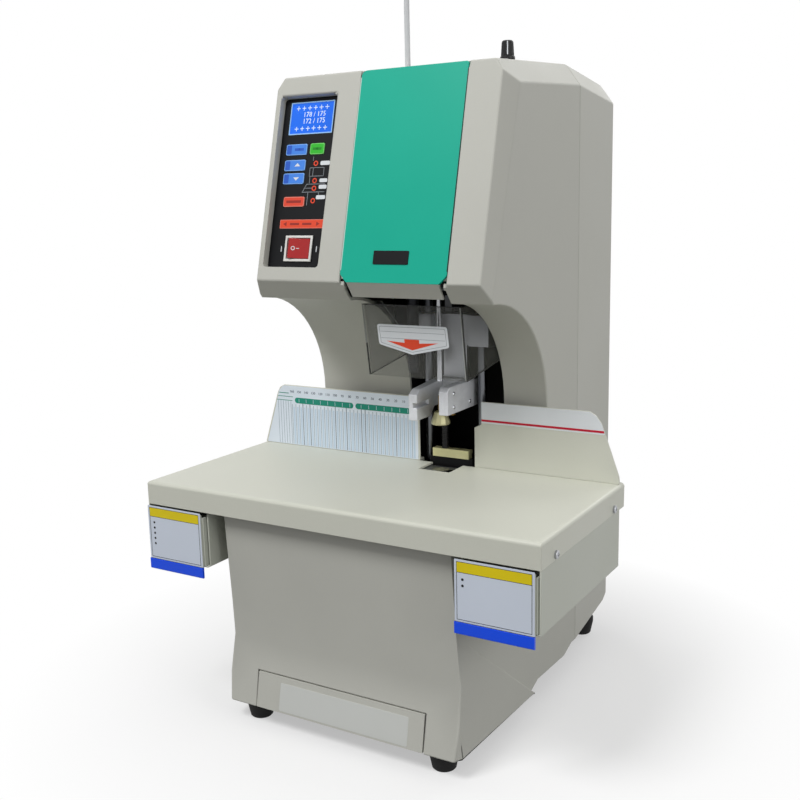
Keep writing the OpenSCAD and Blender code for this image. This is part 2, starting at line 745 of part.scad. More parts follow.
// Windows of the fascia, as [x, distance down the face, width, height]
display_at = [-111.5, 24, 53, 33];
key_mode_at = [-111.5, 67, 25.5, 11];
key_start_at = [-82, 67, 17, 11];
key_up_at = [-111.5, 83, 25.5, 11];
key_down_at = [-111.5, 96.5, 25.5, 11];
key_stop_at = [-108, 120.5, 25.5, 10];
switch_at = [-99.5, 160, 33, 26];
key_places = [key_mode_at, key_start_at, key_up_at, key_down_at, key_stop_at];

module face_box(at, grow, z0, z1) {
    on_face() translate([at[0] - grow, -at[1] - at[3] - grow, z0]) cube([at[2] + 2 * grow, at[3] + 2 * grow, z1 - z0]);
}

fascia_z = -panel_deep;
fascia_back = -panel_deep - fascia_t;

module control_fascia() {
    color([0.05, 0.05, 0.06]) difference() {
        on_face() translate([-panel_x - panel_w / 2, -panel_top - panel_len, fascia_back]) cube([panel_w, panel_len, fascia_t]);
        face_box(display_at, 0, fascia_back - 1, fascia_z + 1);
        for (k = key_places) face_box(k, 0.25, fascia_back - 1, fascia_z + 1);
        face_box(switch_at, -1, fascia_back - 1, fascia_z + 1);
    }
}

board_z = fascia_back - 6;

module display_panel() {
    color([0.15, 0.45, 0.95]) face_box(display_at, 0, board_z, fascia_z - 0.3);
}

// The circuit board with a switch under each key
module control_board() {
    color([0.05, 0.35, 0.15]) {
        on_face() translate([-panel_x - panel_w / 2, -switch_at[1] + 4, board_z - 1.6]) cube([panel_w, switch_at[1] - panel_top - 4, 1.6]);
        for (k = key_places)
            face_box([k[0] + k[2] / 2 - 3, k[1] + k[3] / 2 - 3, 6, 6], 0, board_z, fascia_back - 1 - key_travel);
        for (x = [-1, 1]) face_box([-panel_x + x * 30 - 2, panel_top + 4, 4, 4], 0, board_z, fascia_back);
    }
}

module key_cap(at, shade) {
    color(shade) {
        face_box(at, 0, fascia_back, fascia_z + key_proud);
        face_box([at[0] + at[2] / 2 - 2, at[1] + at[3] / 2 - 2, 4, 4], 0, fascia_back - 0.8, fascia_back);
    }
}

module key_mode() key_cap(key_mode_at, "dodgerblue");
module key_start() key_cap(key_start_at, "limegreen");
module key_up() key_cap(key_up_at, "dodgerblue");
module key_down() key_cap(key_down_at, "dodgerblue");
module key_stop() key_cap(key_stop_at, "tomato");

module switch_bezel() {
    color("white") difference() {
        union() {
            face_box(switch_at, 0, fascia_z, fascia_z + 2);
            face_box(switch_at, -1.05, fascia_z - 16, fascia_z);
        }
        face_box(switch_at, -bezel_rim, fascia_z - 14, fascia_z + 3);
        on_face() translate([switch_at[0] + switch_at[2] / 2, -switch_at[1] - switch_at[3] / 2, fascia_z - 9])
            rotate([90, 0, 0]) cylinder(r = 1.5 + run, h = rocker_w + 3.4, center = true);
    }
}

bezel_rim = 2.5;
rocker_w = switch_at[3] - 2 * bezel_rim - 1;
rocker_half = switch_at[2] / 2 - bezel_rim - 2;

// A rocker that tips sideways: a sector with its pivot pin in the bezel's walls
module power_rocker() {
    color([0.80, 0.10, 0.10]) on_face() translate([switch_at[0] + switch_at[2] / 2, -switch_at[1] - switch_at[3] / 2,
            fascia_z - 9]) rotate([0, rocker_tilt, 0]) {
        rotate([90, 0, 0]) linear_extrude(rocker_w, center = true)
            polygon([[-3, -4], [3, -4], [rocker_half, 8], [rocker_half, 12], [0, 10.2], [-rocker_half, 12], [-rocker_half, 8]]);
        rotate([90, 0, 0]) cylinder(r = 1.5, h = rocker_w + 3, center = true);
    }
}

rocker_tilt = 8;

// ---- roof knob -----------------------------------------------------------------------------------

knob_x = 103;
knob_y = -10;
knob_z = 650.5;
knob_shaft_r = 3;
pot_z = head_z - 15.3;

module roof_knob() {
    color([0.05, 0.05, 0.05]) {
        rod_z(knob_x, knob_y, knob_shaft_r, pot_z + 6, knob_z + 2);
        translate([knob_x, knob_y, knob_z + 0.8]) rotate_extrude()
            polygon([[0, 0], [7, 0], [5.6, 17], [4.8, 18.4], [0, 18.6]]);
    }
}

module speed_potentiometer() {
    color(steel) difference() {
        rod_z(knob_x, knob_y, 9, pot_z, pot_z + 14);
        rod_z(knob_x, knob_y, knob_shaft_r + run, pot_z + 5.8, pot_z + 21);
    }
}

// ---- racks, pinions and motors -------------------------------------------------------------------

function inv(a) = tan(a) * 180 / PI - a;
flank_angle = 20;
base_r = pinion_r * cos(flank_angle);
tooth_half = (pitch / 4 - backlash / 4) / pinion_r * 180 / PI;
flank_radii = [pinion_r - 1.25 * gear_m, base_r + 0.01, base_r + 0.45 * gear_m, pinion_r + 0.3 * gear_m,
    pinion_r + 0.65 * gear_m, pinion_r + gear_m];

function tooth_angle(r) = tooth_half + inv(flank_angle) - inv(acos(min(1, base_r / max(r, base_r))));

// A toothed disc about Z with one tooth towards +X, and its shaft down to -shaft
module pinion(shaft) {
    linear_extrude(gear_w, center = true) polygon([for (t = [0:pinion_teeth - 1]) let (mid = 360 * t / pinion_teeth)
        for (s = [-1, 1]) for (i = [0:len(flank_radii) - 1])
            let (r = flank_radii[s < 0 ? i : len(flank_radii) - 1 - i], a = mid + s * tooth_angle(r))
            [r * cos(a), r * sin(a)]]);
    translate([0, 0, -shaft]) cylinder(r = shaft_r, h = shaft);
}

shaft_r = 3;

// A rack along Z, from -down to up, that faces +X with its pitch line at x = 0 and a gap at z = 0
module rack(down, up) {
    root = -1.25 * gear_m;
    half = pitch / 4 - backlash / 4;
    rise = tan(flank_angle);
    first = -floor(down / pitch);
    last = floor(up / pitch) - 1;
    along_y(-gear_w / 2, gear_w / 2) {
        polygon([[root - 4, -down], [root, -down], [root, up], [root - 4, up]]);
        for (i = [first:last]) let (z = (i + 0.5) * pitch)
            polygon([[root - 0.01, z - half + root * rise], [gear_m, z - half + gear_m * rise],
                [gear_m, z + half - gear_m * rise], [root - 0.01, z + half - root * rise]]);
    }
}

// A gear motor behind y = 0, with its axis along Y and a bore for the shaft
module lift_motor(r, length) {
    difference() {
        union() {
            rod_y(0, 0, r, 2, length);
            rod_y(0, 0, 7, 0, 2);
        }
        rod_y(0, 0, shaft_r + run, -1, 12);
    }
}

// ---- press foot ----------------------------------------------------------------------------------

press_h = 32;
press_room = 20;                               // space over the press slide at rest
press_z = bridge_z - press_room - press_h;     // underside of the press slide
press_rack_x = 12;
press_rack_y = rod_y + 14 + 4 + 1.25 * gear_m; // pitch line of its rack
press_pinion_z = press_z + 10;
bush_r = rod_r + 3;
foot_top = foot_bottom + 44;

module press_slide() {
    color(steel) {
        difference() {
            block([rod_x0 - 13, rod_x1 + 13], [rod_y - 12, rod_y + 14], [press_z, press_z + press_h]);
            for (x = [rod_x0, rod_x1]) rod_z(x, rod_y, bush_r, press_z - 1, press_z + press_h + 1);
            block([rod_x0 + 10, rod_x1 - 10], [rod_y - 13, rod_y - 4], [press_z - 1, press_z + press_h + 1]);
        }
        block([hole_x - 16, hole_x + 12], [rod_y + 2, rod_y + 7], [foot_top, press_z]);
        translate([press_rack_x, press_rack_y, press_pinion_z]) rotate([0, 0, 90]) rack(press_pinion_z - press_z, stack_h + 12);
    }
}

module press_bushes() {
    color([0.78, 0.62, 0.30]) for (x = [rod_x0, rod_x1]) difference() {
        rod_z(x, rod_y, bush_r, press_z, press_z + press_h);
        rod_z(x, rod_y, rod_r + run, press_z - 1, press_z + press_h + 1);
    }
}

arm_in = 12;                                   // half width of the space between the foot's arms
foot_front_y = hole_y - 25;

// A forked foot: two arms and a web, open to the front
module press_foot() {
    x0 = hole_x - arm_in - 2;
    x1 = hole_x + arm_in - 0.5;
    left = [[foot_front_y, foot_bottom + 6.6], [-12, foot_bottom + 6.6], [-3, foot_bottom + 15.8],
        [rod_y + 7, foot_bottom + 15.8], [rod_y + 7, foot_top],
        [foot_front_y + 8, foot_top - 5], [foot_front_y, foot_top - 10]];
    right = [[foot_front_y, foot_bottom + 15], [rod_y + 7, foot_bottom + 15], [rod_y + 7, foot_top],
        [foot_front_y + 4, foot_top], [foot_front_y, foot_top - 5]];
    color([0.86, 0.87, 0.89]) difference() {
        union() {
            along_x(x0 - 10, x0) polygon(left);
            along_x(x1, x1 + 10.5) polygon(right);
            block([x0, x1], [rod_y - 5, rod_y + 7], [foot_bottom + 15, foot_top]);
        }
        // slot through the left arm
        block([x0 - 5, x0 + 1], [foot_front_y - 1, foot_front_y + 26], [foot_bottom + 20, foot_bottom + 25]);
    }
}

module press_nozzle() {
    color([0.84, 0.80, 0.52]) difference() {
        union() {
            rod_z(hole_x, hole_y, 10, foot_bottom, foot_bottom + 5);
            translate([hole_x, hole_y, foot_bottom + 5]) cylinder(r1 = 10, r2 = 8.5, h = 7);
            block([hole_x - 4, hole_x + arm_in - 0.5], [hole_y + 6.7, hole_y + 11], [foot_bottom + 11, foot_bottom + 29]);
        }
        rod_z(hole_x, hole_y, 6.5, foot_bottom - 1, foot_bottom + 13);
    }
}

module press_pinion() {
    color([0.80, 0.68, 0.35]) translate([press_rack_x, press_rack_y + pinion_r, press_pinion_z])
        rotate([0, -90, 0]) rotate([0, 0, -90]) pinion(18);
}

press_motor_l = 46;

module press_motor() {
    color([0.35, 0.36, 0.38]) {
        translate([press_rack_x + gear_w / 2 + 2, press_rack_y + pinion_r, press_pinion_z]) rotate([0, 0, -90])
            lift_motor(motor_r - 2, press_motor_l);
        block([press_rack_x + gear_w / 2 + press_motor_l - 2, press_rack_x + gear_w / 2 + press_motor_l + 2],
            [press_rack_y + pinion_r - 10, frame_y1], [press_pinion_z - 14, press_pinion_z + 14]);
    }
}

// ---- tool plate and its cross slide --------------------------------------------------------------

tool_z0 = 444;
tool_z1 = 598;
tool_y0 = 34;
tool_y1 = 40;
solenoid_z = 526;
boss_r = 7;
slider_z0 = 540;
slider_z1 = 598;
lift_z = 504;
slide_half = 14.6;
drill_rack_x = hole_x + slide_half + 4 + 1.25 * gear_m;
rivet_rack_x = tube_x - slide_half - 4 - 1.25 * gear_m;
rack_y = -1;
rail_half = 5;

module cross_rods() {
    color(steel) for (z = cross_z) rod_x(cross_y, z, cross_r, frame_x0, frame_x1);
}

// The plate that carries both tools, its blocks on the cross rods, its rails and its pull rod
module tool_plate() {
    color([0.45, 0.46, 0.48]) difference() {
        union() {
            block([rivet_rack_x - pinion_r - 8, drill_rack_x + pinion_r + 8], [tool_y0, tool_y1], [tool_z0, tool_z1]);
            for (z = cross_z) block([tube_x - 8, hole_x + 8], [tool_y1, cross_y + 9], [z - 11, z + 11]);
            for (x = [tube_x, hole_x]) block([x - rail_half, x + rail_half], [tool_y0 - 4, tool_y0], [tool_z0, tool_z1]);
            rod_x(cross_y, solenoid_z, plunger_r, frame_x0 - station_gap - 4, tube_x - 8);
            block([tube_x - 12, tube_x - 8], [tool_y1, cross_y + 5], [solenoid_z - 5, solenoid_z + 5]);
        }
        for (z = cross_z) rod_x(cross_y, z, cross_r + run, tube_x - 9, hole_x + 9);
        for (x = [rivet_rack_x - pinion_r, drill_rack_x + pinion_r])
            rod_y(x, lift_z, boss_r + 0.1, tool_y0 - 1, tool_y1 + 1);
    }
}

plunger_r = 4.5;
solenoid_l = station_gap + 12;

// A linear actuator outside the left flange: its plunger is the plate's pull rod
module shift_solenoid() {
    color([0.55, 0.20, 0.12]) difference() {
        union() {
            rod_x(cross_y, solenoid_z, 13, frame_x0 - solenoid_l, frame_x0);
            rod_x(cross_y, solenoid_z, 7.9, frame_x0, frame_x0 + frame_t);
        }
        rod_x(cross_y, solenoid_z, plunger_r + run, frame_x0 - solenoid_l + 4, frame_x0 + frame_t + 1);
    }
}

module lift_motors() {
    color([0.35, 0.36, 0.38]) for (x = [rivet_rack_x - pinion_r, drill_rack_x + pinion_r])
        translate([x, tool_y1 - 2, lift_z]) {
            lift_motor(motor_r, 42);
            difference() {
                rod_y(0, 0, boss_r, tool_y0 - tool_y1 + 2, 0);
                rod_y(0, 0, shaft_r + run, -5, 1);
            }
        }
}

// A block on a rail: it wraps the rail with a running gap
module slider_block(x) {
    g = slide_gap;
    difference() {
        block([x - slide_half, x + slide_half], [4, tool_y0 - g], [slider_z0, slider_z1]);
        block([x - rail_half - g, x + rail_half + g], [tool_y0 - 4 - g, tool_y0], [slider_z0 - 1, slider_z1 + 1]);
    }
}

module drill_slider() {
    color([0.62, 0.63, 0.65]) {
        difference() {
            union() {
                slider_block(hole_x);
                block([hole_x - 13, hole_x + 13], [hole_y + 6, 4], [slider_z0, slider_z1]);
            }
            rod_z(hole_x, hole_y, drill_motor_r, slider_z0 - 4, slider_z1 + 1);
        }
        spindle_housing();
        // an arm carries the rack beside the block
        block([hole_x + slide_half, hole_x + slide_half + 4], [rack_y - gear_w / 2, 20], [slider_z0, slider_z1]);
        translate([drill_rack_x, rack_y, lift_z]) rack(lift_z - slider_z0 + 44, slider_z1 - lift_z);
    }
}

module drill_motor() {
    color([0.18, 0.19, 0.20]) rod_z(hole_x, hole_y, drill_motor_r, slider_z0 - 4, slider_z1);
}

chuck_z = foot_top + tool_travel + 2;
chuck_room = 20;                               // length of the chuck under the spindle's housing
housing_z = chuck_z + chuck_room;

// The spindle's housing hangs under the motor on a plate of the slider
module spindle_housing() {
    difference() {
        union() {
            rod_z(hole_x, hole_y, 11, housing_z, slider_z0 - 4);
            block([hole_x - 13, hole_x + 13], [hole_y - 12, tool_y0 - slide_gap - 8], [slider_z0 - 10, slider_z0 - 4]);
            block([hole_x - 13, hole_x + 13], [4, tool_y0 - slide_gap - 8], [slider_z0 - 10, slider_z0]);
        }
        rod_z(hole_x, hole_y, 5 + run, housing_z - 1, slider_z0 - 6);
    }
}

module drill_spindle() {
    color(steel) difference() {
        union() {
            rod_z(hole_x, hole_y, 5, chuck_z + 14, slider_z0 - 6.2);
            rod_z(hole_x, hole_y, 9, chuck_z + 2, chuck_z + 18);
            translate([hole_x, hole_y, chuck_z]) cylinder(r1 = 7, r2 = 9, h = 2);
        }
        rod_z(hole_x, hole_y, drill_r, chuck_z - 1, chuck_z + 10);
    }
}

module hollow_drill() {
    color([0.80, 0.81, 0.83]) difference() {
        union() {
            rod_z(hole_x, hole_y, drill_r, foot_top + 2, chuck_z + 10);
            rod_z(hole_x, hole_y, drill_r + 1.2, chuck_z - 3, chuck_z);
        }
        rod_z(hole_x, hole_y, drill_bore, foot_top + 1, chuck_z + 11);
    }
}

// ---- tube station --------------------------------------------------------------------------------

ram_r = 6;
nose_z = foot_top + 9;
band_z = foot_top + tool_travel + 10;
roller_r = 5;
roller_z = slider_z1 + 18;
roller_dx = tube_r + roller_r + slide_gap;
tube_end = slider_z1 + 10;

module rivet_slider() {
    color([0.62, 0.63, 0.65]) {
        difference() {
            union() {
                slider_block(tube_x);
                block([tube_x - 9, tube_x + 9], [hole_y - 9, 4], [slider_z0, slider_z1]);
                // plates that hold the feed rollers
                for (y = [hole_y - 9, hole_y + 7]) block([tube_x - 13, tube_x + 13], [y, y + 2], [slider_z1, roller_z + 8]);
                block([tube_x - 13, tube_x + 13], [hole_y - 9, 20], [slider_z1, slider_z1 + 2.2]);
            }
            rod_z(tube_x, hole_y, ram_r, slider_z0 - 1, slider_z1);
            rod_z(tube_x, hole_y, tube_r + 0.35, slider_z1 - 1, slider_z1 + 4);
            for (s = [-1, 1]) rod_y(tube_x + s * roller_dx, roller_z, 2 + run, hole_y - 10, hole_y + 10);
        }
        block([tube_x - slide_half - 4, tube_x - slide_half], [rack_y - gear_w / 2, 20], [slider_z0, slider_z1]);
        translate([rivet_rack_x, rack_y, lift_z]) mirror([1, 0, 0]) rack(lift_z - slider_z0 + 44, slider_z1 - lift_z);
    }
}

// The ram with its heated brass nose, and the heater band above the foot's reach
module rivet_ram() {
    color(steel) difference() {
        union() {
            translate([tube_x, hole_y, nose_z]) cylinder(r1 = 5, r2 = ram_r, h = 4);
            rod_z(tube_x, hole_y, ram_r, nose_z + 4, slider_z1);
            rod_z(tube_x, hole_y, ram_r + 3, band_z, band_z + 40);
        }
        rod_z(tube_x, hole_y, tube_r + 0.35, nose_z - 1, slider_z1 + 1);
    }
}

module roller(x) {
    color([0.30, 0.31, 0.33]) {
        rod_y(x, roller_z, roller_r, hole_y - 6.6, hole_y + 6.6);
        rod_y(x, roller_z, 2, hole_y - 9, hole_y + 9);
    }
}

module feed_roller() roller(tube_x - roller_dx);
module idler_roller() roller(tube_x + roller_dx);

module rivet_tube() {
    color([0.88, 0.89, 0.90]) difference() {
        rod_z(tube_x, hole_y, tube_r, tube_end, tube_top);
        rod_z(tube_x, hole_y, tube_bore, tube_end - 1, tube_top + 1);
    }
}

// A blade that crosses the tube's path under the rollers
module cutter_blade() {
    z = slider_z1 + 2.2 + slide_gap;
    color(steel) along_y(hole_y - 5, hole_y + 5) polygon([[tube_x + tube_r + 0.8, z],
        [tube_x + 12, z], [tube_x + 12, z + 2], [tube_x + tube_r + 3.8, z + 2]]);
}

pinion_face_y = rack_y;

module tool_pinion(x) {
    color([0.80, 0.68, 0.35]) translate([x, pinion_face_y, lift_z]) rotate([-90, 0, 0]) rotate([0, 180, 0]) pinion(46);
}

module drill_pinion() tool_pinion(drill_rack_x + pinion_r);
module rivet_pinion() tool_pinion(rivet_rack_x - pinion_r);

// ---- lower die -----------------------------------------------------------------------------------

die_shift = 36;
die_top = under_z - slide_gap;

// A sliding block with the nylon drill pad and the lower rivet pin
module die_slide() {
    color([0.50, 0.51, 0.53]) difference() {
        block([hole_x - die_shift - 16, hole_x + 16], [die_front, die_back], [deck_z + deck_t + slide_gap, die_top - 1]);
        rod_z(hole_x, hole_y, 8, die_top - 6, die_top);
    }
    color("white") rod_z(hole_x, hole_y, 8, die_top - 6, die_top);
    color([0.78, 0.62, 0.30]) rod_z(hole_x - die_shift, hole_y, 5, die_top - 1, die_top);
}

supply_x = [-45, 75];
supply_h = 90;
supply_room = 16;                              // behind the supply, to the casing's back

module power_supply() {
    color([0.60, 0.61, 0.62]) block(supply_x, [frame_y1 + 12, rear_y - supply_room], [plate_z, plate_z + supply_h]);
}

base_casing();
front_casing();
rear_casing();
bottom_plate();
feet();
column_frame();
lower_deck();
guide_rods();
work_table();
fence();
drawer_housings();
chip_chute();
guard();
bay_cheeks();
stop_block();
stop_strip();
stop_screw();
control_fascia();
display_panel();
control_board();
switch_bezel();
cover_hinge_pin();
cross_rods();
shift_solenoid();
press_motor();
power_supply();
mains_inlet();
screws();
speed_potentiometer();
chip_drawer();
left_drawer();
right_drawer();
front_cover();
press_slide();
press_foot();
press_bushes();
press_nozzle();
press_pinion();
tool_plate();
lift_motors();
drill_slider();
drill_motor();
drill_spindle();
hollow_drill();
rivet_slider();
rivet_ram();
drill_pinion();
rivet_pinion();
feed_roller();
idler_roller();
rivet_tube();
cutter_blade();
die_slide();
roof_knob();
key_mode();
key_start();
key_up();
key_down();
key_stop();
power_rocker();
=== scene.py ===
import math

import bmesh
import bpy
from mathutils import Matrix, Vector


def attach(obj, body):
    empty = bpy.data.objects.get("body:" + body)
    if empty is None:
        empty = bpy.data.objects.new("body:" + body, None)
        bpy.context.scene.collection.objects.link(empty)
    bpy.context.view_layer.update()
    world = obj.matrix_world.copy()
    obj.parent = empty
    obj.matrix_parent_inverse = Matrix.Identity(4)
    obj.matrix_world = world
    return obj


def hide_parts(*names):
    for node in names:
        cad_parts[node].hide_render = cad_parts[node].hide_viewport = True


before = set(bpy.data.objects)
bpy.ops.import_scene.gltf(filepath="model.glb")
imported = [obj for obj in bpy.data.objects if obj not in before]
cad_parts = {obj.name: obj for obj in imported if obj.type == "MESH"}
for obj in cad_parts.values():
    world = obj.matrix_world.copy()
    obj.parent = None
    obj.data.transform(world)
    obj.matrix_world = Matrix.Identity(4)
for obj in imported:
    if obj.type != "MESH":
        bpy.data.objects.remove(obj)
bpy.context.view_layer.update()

MM = 0.001
HEAD_EDGE = (-66.0, 647.0)      # y and z of the leaning face's top edge
FOLD = (-118.0, 447.0)          # y and z of its foot
LEAN = math.atan((HEAD_EDGE[0] - FOLD[0]) / (HEAD_EDGE[1] - FOLD[1]))
FACE_LENGTH = math.hypot(HEAD_EDGE[0] - FOLD[0], HEAD_EDGE[1] - FOLD[1])
SIN, COS = math.sin(LEAN), math.cos(LEAN)
FASCIA = -8.0                   # the fascia's front, measured out of the leaning face
BASE_FOOT = (-187.0, 21.0)      # y and z of the base's leaning foot
BASE_LEAN = 13.0 / 68.0         # how far the base's foot leans back for each millimetre up
GUARD_FOOT = (-72.0, 350.0)     # y and z of the guard's front sheet, low down
GUARD_LEAN = 11.0 / 73.0        # how far that sheet leans forwards for each millimetre up
ROOF_RISE = 8.0 / 151.0         # how far the roof rises for each millimetre back
COVER_MID = 33.0                # the middle of the cover and the guard, across
HOLE = (28.0, -16.0)            # x and y of the punched hole
NOZZLE_MOUTH = 292.0            # height of the nozzle's mouth
DRAWER_FRONT = -198.3           # y of the side drawers' fronts
KNOB_FOOT = (103.0, -10.0, 650.5)       # where the speed knob stands on the roof
SKIRT = 220.2                   # x of the table's side skirts
BACK = 204.7                    # y of the machine's back
KEY_FOOT, KEY_RIM, KEY_FIELD = -10.0, -7.25, -7.15      # of a key, measured out of the leaning face
PAINT_SPECULAR = 0.3            # of everything that isn't metal
WHITE = (1, 1, 1, 1)
FADE_START, FADE_END = 0.24, 0.46       # metres from the middle between which the floor turns plain white
NEAR_WHITE = 0.45               # share of plain white in the floor close to the machine
ROOM_LIGHT = 0.38               # strength of the soft light from all round

# the body that carries a piece, and a colour slot name, which the functions take but do not use
ON_CASING = ("machine", "casing_moulding")
ON_TABLE = ("machine", "table_sheet")
ON_PANEL = ("machine", "black_fascia")
ON_STEEL = ("machine", "machined_steel")
ON_GUARD = ("machine", "guard_clear")
IN_WHITE = ("machine", "bezel_white")


# ---- places: a pair of millimetres across and along, and a third outwards -------------------------

def on_face(across, down, out):
    """The leaning face of the head, measured down from its top edge."""
    return Vector((across, HEAD_EDGE[0] - down * SIN - out * COS, HEAD_EDGE[1] - down * COS + out * SIN)) * MM


def on_fence(across, height, out):
    """The fence's upright front."""
    return Vector((across, -out, height)) * MM


def on_front(y):
    """A plane that faces the operator at y."""
    return lambda across, height, out: Vector((across, y - out, height)) * MM


def on_base(across, height, out):
    """The leaning foot of the base, where the chip drawer's front is."""
    return Vector((across, BASE_FOOT[0] + (height - BASE_FOOT[1]) * BASE_LEAN - out, height)) * MM


def on_guard(across, height, out):
    """The guard's front sheet, which leans a little."""
    return Vector((across, GUARD_FOOT[0] - (height - GUARD_FOOT[1]) * GUARD_LEAN - out, height)) * MM


def on_roof(across, back, out):
    """The sloping roof."""
    return Vector((across, back, HEAD_EDGE[1] + (back - HEAD_EDGE[0]) * ROOF_RISE + out)) * MM


def from_side(back, height, across):
    """For an outline seen from the side, which is raised across the machine."""
    return Vector((across, back, height)) * MM


def plain(across, back, height):
    """A place measured straight across, back and up."""
    return Vector((across, back, height)) * MM


# ---- outlines ------------------------------------------------------------------------------------

def box(x0, y0, x1, y1):
    """A rectangle's corners."""
    return [(x0, y0), (x1, y0), (x1, y1), (x0, y1)]


def rounded(x0, y0, x1, y1, r, steps=4):
    """A rectangle with rounded corners."""
    points = []
    for cx, cy, start in ((x1 - r, y1 - r, 0), (x0 + r, y1 - r, 90), (x0 + r, y0 + r, 180), (x1 - r, y0 + r, 270)):
        for i in range(steps + 1):
            a = math.radians(start + 90 * i / steps)
            points.append((cx + r * math.cos(a), cy + r * math.sin(a)))
    return points


def cornered(points, radii, steps=4):
    """An outline whose corners are rounded, each by its own radius."""
    result = []
    count = len(points)
    for i in range(count):
        before, here, after = (Vector(points[j % count]) for j in (i - 1, i, i + 1))
        r = radii[i]
        if r <= 0:
            result.append(tuple(here))
            continue
        u, v = (before - here).normalized(), (after - here).normalized()
        half = u.angle(v) / 2
        reach = min(r / math.tan(half), (before - here).length / 2, (after - here).length / 2)
        r = reach * math.tan(half)
        centre = here + (u + v).normalized() * (r / math.sin(half))
        start = (here + u * reach) - centre
        end = (here + v * reach) - centre
        a0 = math.atan2(start.y, start.x)
        turn = (math.atan2(end.y, end.x) - a0 + math.pi) % (2 * math.pi) - math.pi
        for k in range(steps + 1):
            a = a0 + turn * k / steps
            result.append((centre.x + r * math.cos(a), centre.y + r * math.sin(a)))
    return result


def disc(cx, cy, r, steps=24):
    return [(cx + r * math.cos(2 * math.pi * i / steps), cy + r * math.sin(2 * math.pi * i / steps))
            for i in range(steps)]


def stroke(points, width):
    """Narrow rectangles along a line."""
    result = []
    for a, b in zip(points, points[1:]):
        a, b = Vector(a), Vector(b)
        along = (b - a).normalized() * width / 2
        side = Vector((-along.y, along.x))
        result.append([tuple(p) for p in (a - along - side, b + along - side, b + along + side, a - along + side)])
    return result


# ---- finishes ------------------------------------------------------------------------------------

def linear(rgb):
    """A colour of 0 to 255 as light, with full alpha."""
    return tuple((c / 255 / 12.92) if c / 255 <= 0.04045 else ((c / 255 + 0.055) / 1.055) ** 2.4 for c in rgb) + (1.0,)


def add(tree, kind, inputs=None, output=0, **settings):
    """A new node's output. Each input is given a value, the output that feeds it, or a list of such outputs."""
    node = tree.nodes.new(kind)
    for name, value in settings.items():
        setattr(node, name, value)
    for key, value in (inputs or {}).items():
        sources = value if isinstance(value, list) else [value]
        if isinstance(sources[0], bpy.types.NodeSocket):
            for source in sources:
                tree.links.new(source, node.inputs[key])
        else:
            node.inputs[key].default_value = value
    return node.outputs[output]


def finish(name, rgb, rough=0.5, metallic=0.0, grain=0.8, relief=0.01, spread=0.05, patch=50.0,
           stretch=(1.0, 1.0, 1.0), sockets=None):
    """A surface with a fine grain in relief, and slow patches of shade and gloss. Lengths are in millimetres."""
    material = bpy.data.materials.new(name)
    material.use_nodes = True
    tree = material.node_tree
    shader = tree.nodes["Principled BSDF"]
    shader.inputs["Metallic"].default_value = metallic
    if metallic < 0.5:
        shader.inputs["Specular IOR Level"].default_value = PAINT_SPECULAR
    for key, value in (sockets or {}).items():
        shader.inputs[key].default_value = value
    place = add(tree, "ShaderNodeMapping", {"Vector": add(tree, "ShaderNodeTexCoord", output="Object"),
                                            "Scale": stretch})
    fine = add(tree, "ShaderNodeTexNoise", {"Vector": place, "Scale": 1000.0 / grain, "Detail": 3.0,
                                            "Roughness": 0.6}, "Fac")
    slow = add(tree, "ShaderNodeTexNoise", {"Vector": place, "Scale": 1000.0 / patch, "Detail": 5.0}, "Fac")
    bump = add(tree, "ShaderNodeBump", {"Strength": 1.0, "Distance": relief * MM, "Height": fine})
    both = add(tree, "ShaderNodeMath", {0: fine, 1: 0.45, 2: slow}, operation="MULTIPLY_ADD")
    gloss = add(tree, "ShaderNodeMapRange", {"Value": slow, "From Min": 0.3, "From Max": 0.7,
                                             "To Min": max(0.02, rough - 0.06), "To Max": min(1.0, rough + 0.06)})
    tint = tree.nodes.new("ShaderNodeValToRGB")
    for stop, at, share in zip(tint.color_ramp.elements, (0.4, 1.0), (1 - spread, 1 + spread)):
        stop.position = at
        stop.color = [min(1.0, c * share) for c in linear(rgb)[:3]] + [1.0]
    tree.links.new(both, tint.inputs["Fac"])
    for key, source in (("Normal", bump), ("Base Color", tint.outputs["Color"]), ("Roughness", gloss)):
        tree.links.new(source, shader.inputs[key])
    return material


def printed(name, rgb, rough=0.5, relief=0.004, **more):
    """Ink, paper or a thin coloured field."""
    return finish(name, rgb, rough, grain=0.5, relief=relief, **more)


def key_tones(name, *shades):
    """A key's rim, its field and the marks on it."""
    return [finish(name + end, rgb, 0.4, grain=0.7, relief=0.01) for end, rgb in zip(("_rim", "", "_dark"), shades)]


casing_moulding = finish("casing_moulding", (192, 192, 184), 0.55, grain=1.1, relief=0.05, spread=0.035, patch=70)
table_enamel = finish("table_enamel", (208, 209, 197), 0.42, grain=1.6, relief=0.05, spread=0.025, patch=90)
drawer_enamel = finish("drawer_enamel", (190, 193, 182), 0.42, grain=1.6, relief=0.05, spread=0.03)
cover_green = finish("cover_green", (18, 174, 148), 0.36, grain=1.2, relief=0.03, spread=0.04, patch=120,
                     sockets={"Specular IOR Level": 0.2})
# painted highlight: a pale colour for the light caught by the cover's left edge
cover_edge_highlight = finish("cover_edge_highlight", (196, 226, 216), 0.35, grain=0.6, relief=0.01)
# painted shade: a dark green for the shaded right edge of the cover
cover_edge_shade = finish("cover_edge_shade", (22, 96, 82), 0.45, grain=0.6, relief=0.01)
black_fascia = finish("black_fascia", (13, 14, 17), 0.45, grain=0.5, relief=0.004, spread=0.2,
                      sockets={"Specular IOR Level": 0.15})
black_moulding = finish("black_moulding", (20, 20, 21), 0.45, grain=0.7, relief=0.03, spread=0.15)
black_enamel = finish("black_enamel", (17, 17, 18), 0.6, grain=1.3, relief=0.05, spread=0.2,
                      sockets={"Specular IOR Level": 0.15})
foot_rubber = finish("foot_rubber", (13, 13, 13), 0.75, grain=0.9, relief=0.08, spread=0.25)
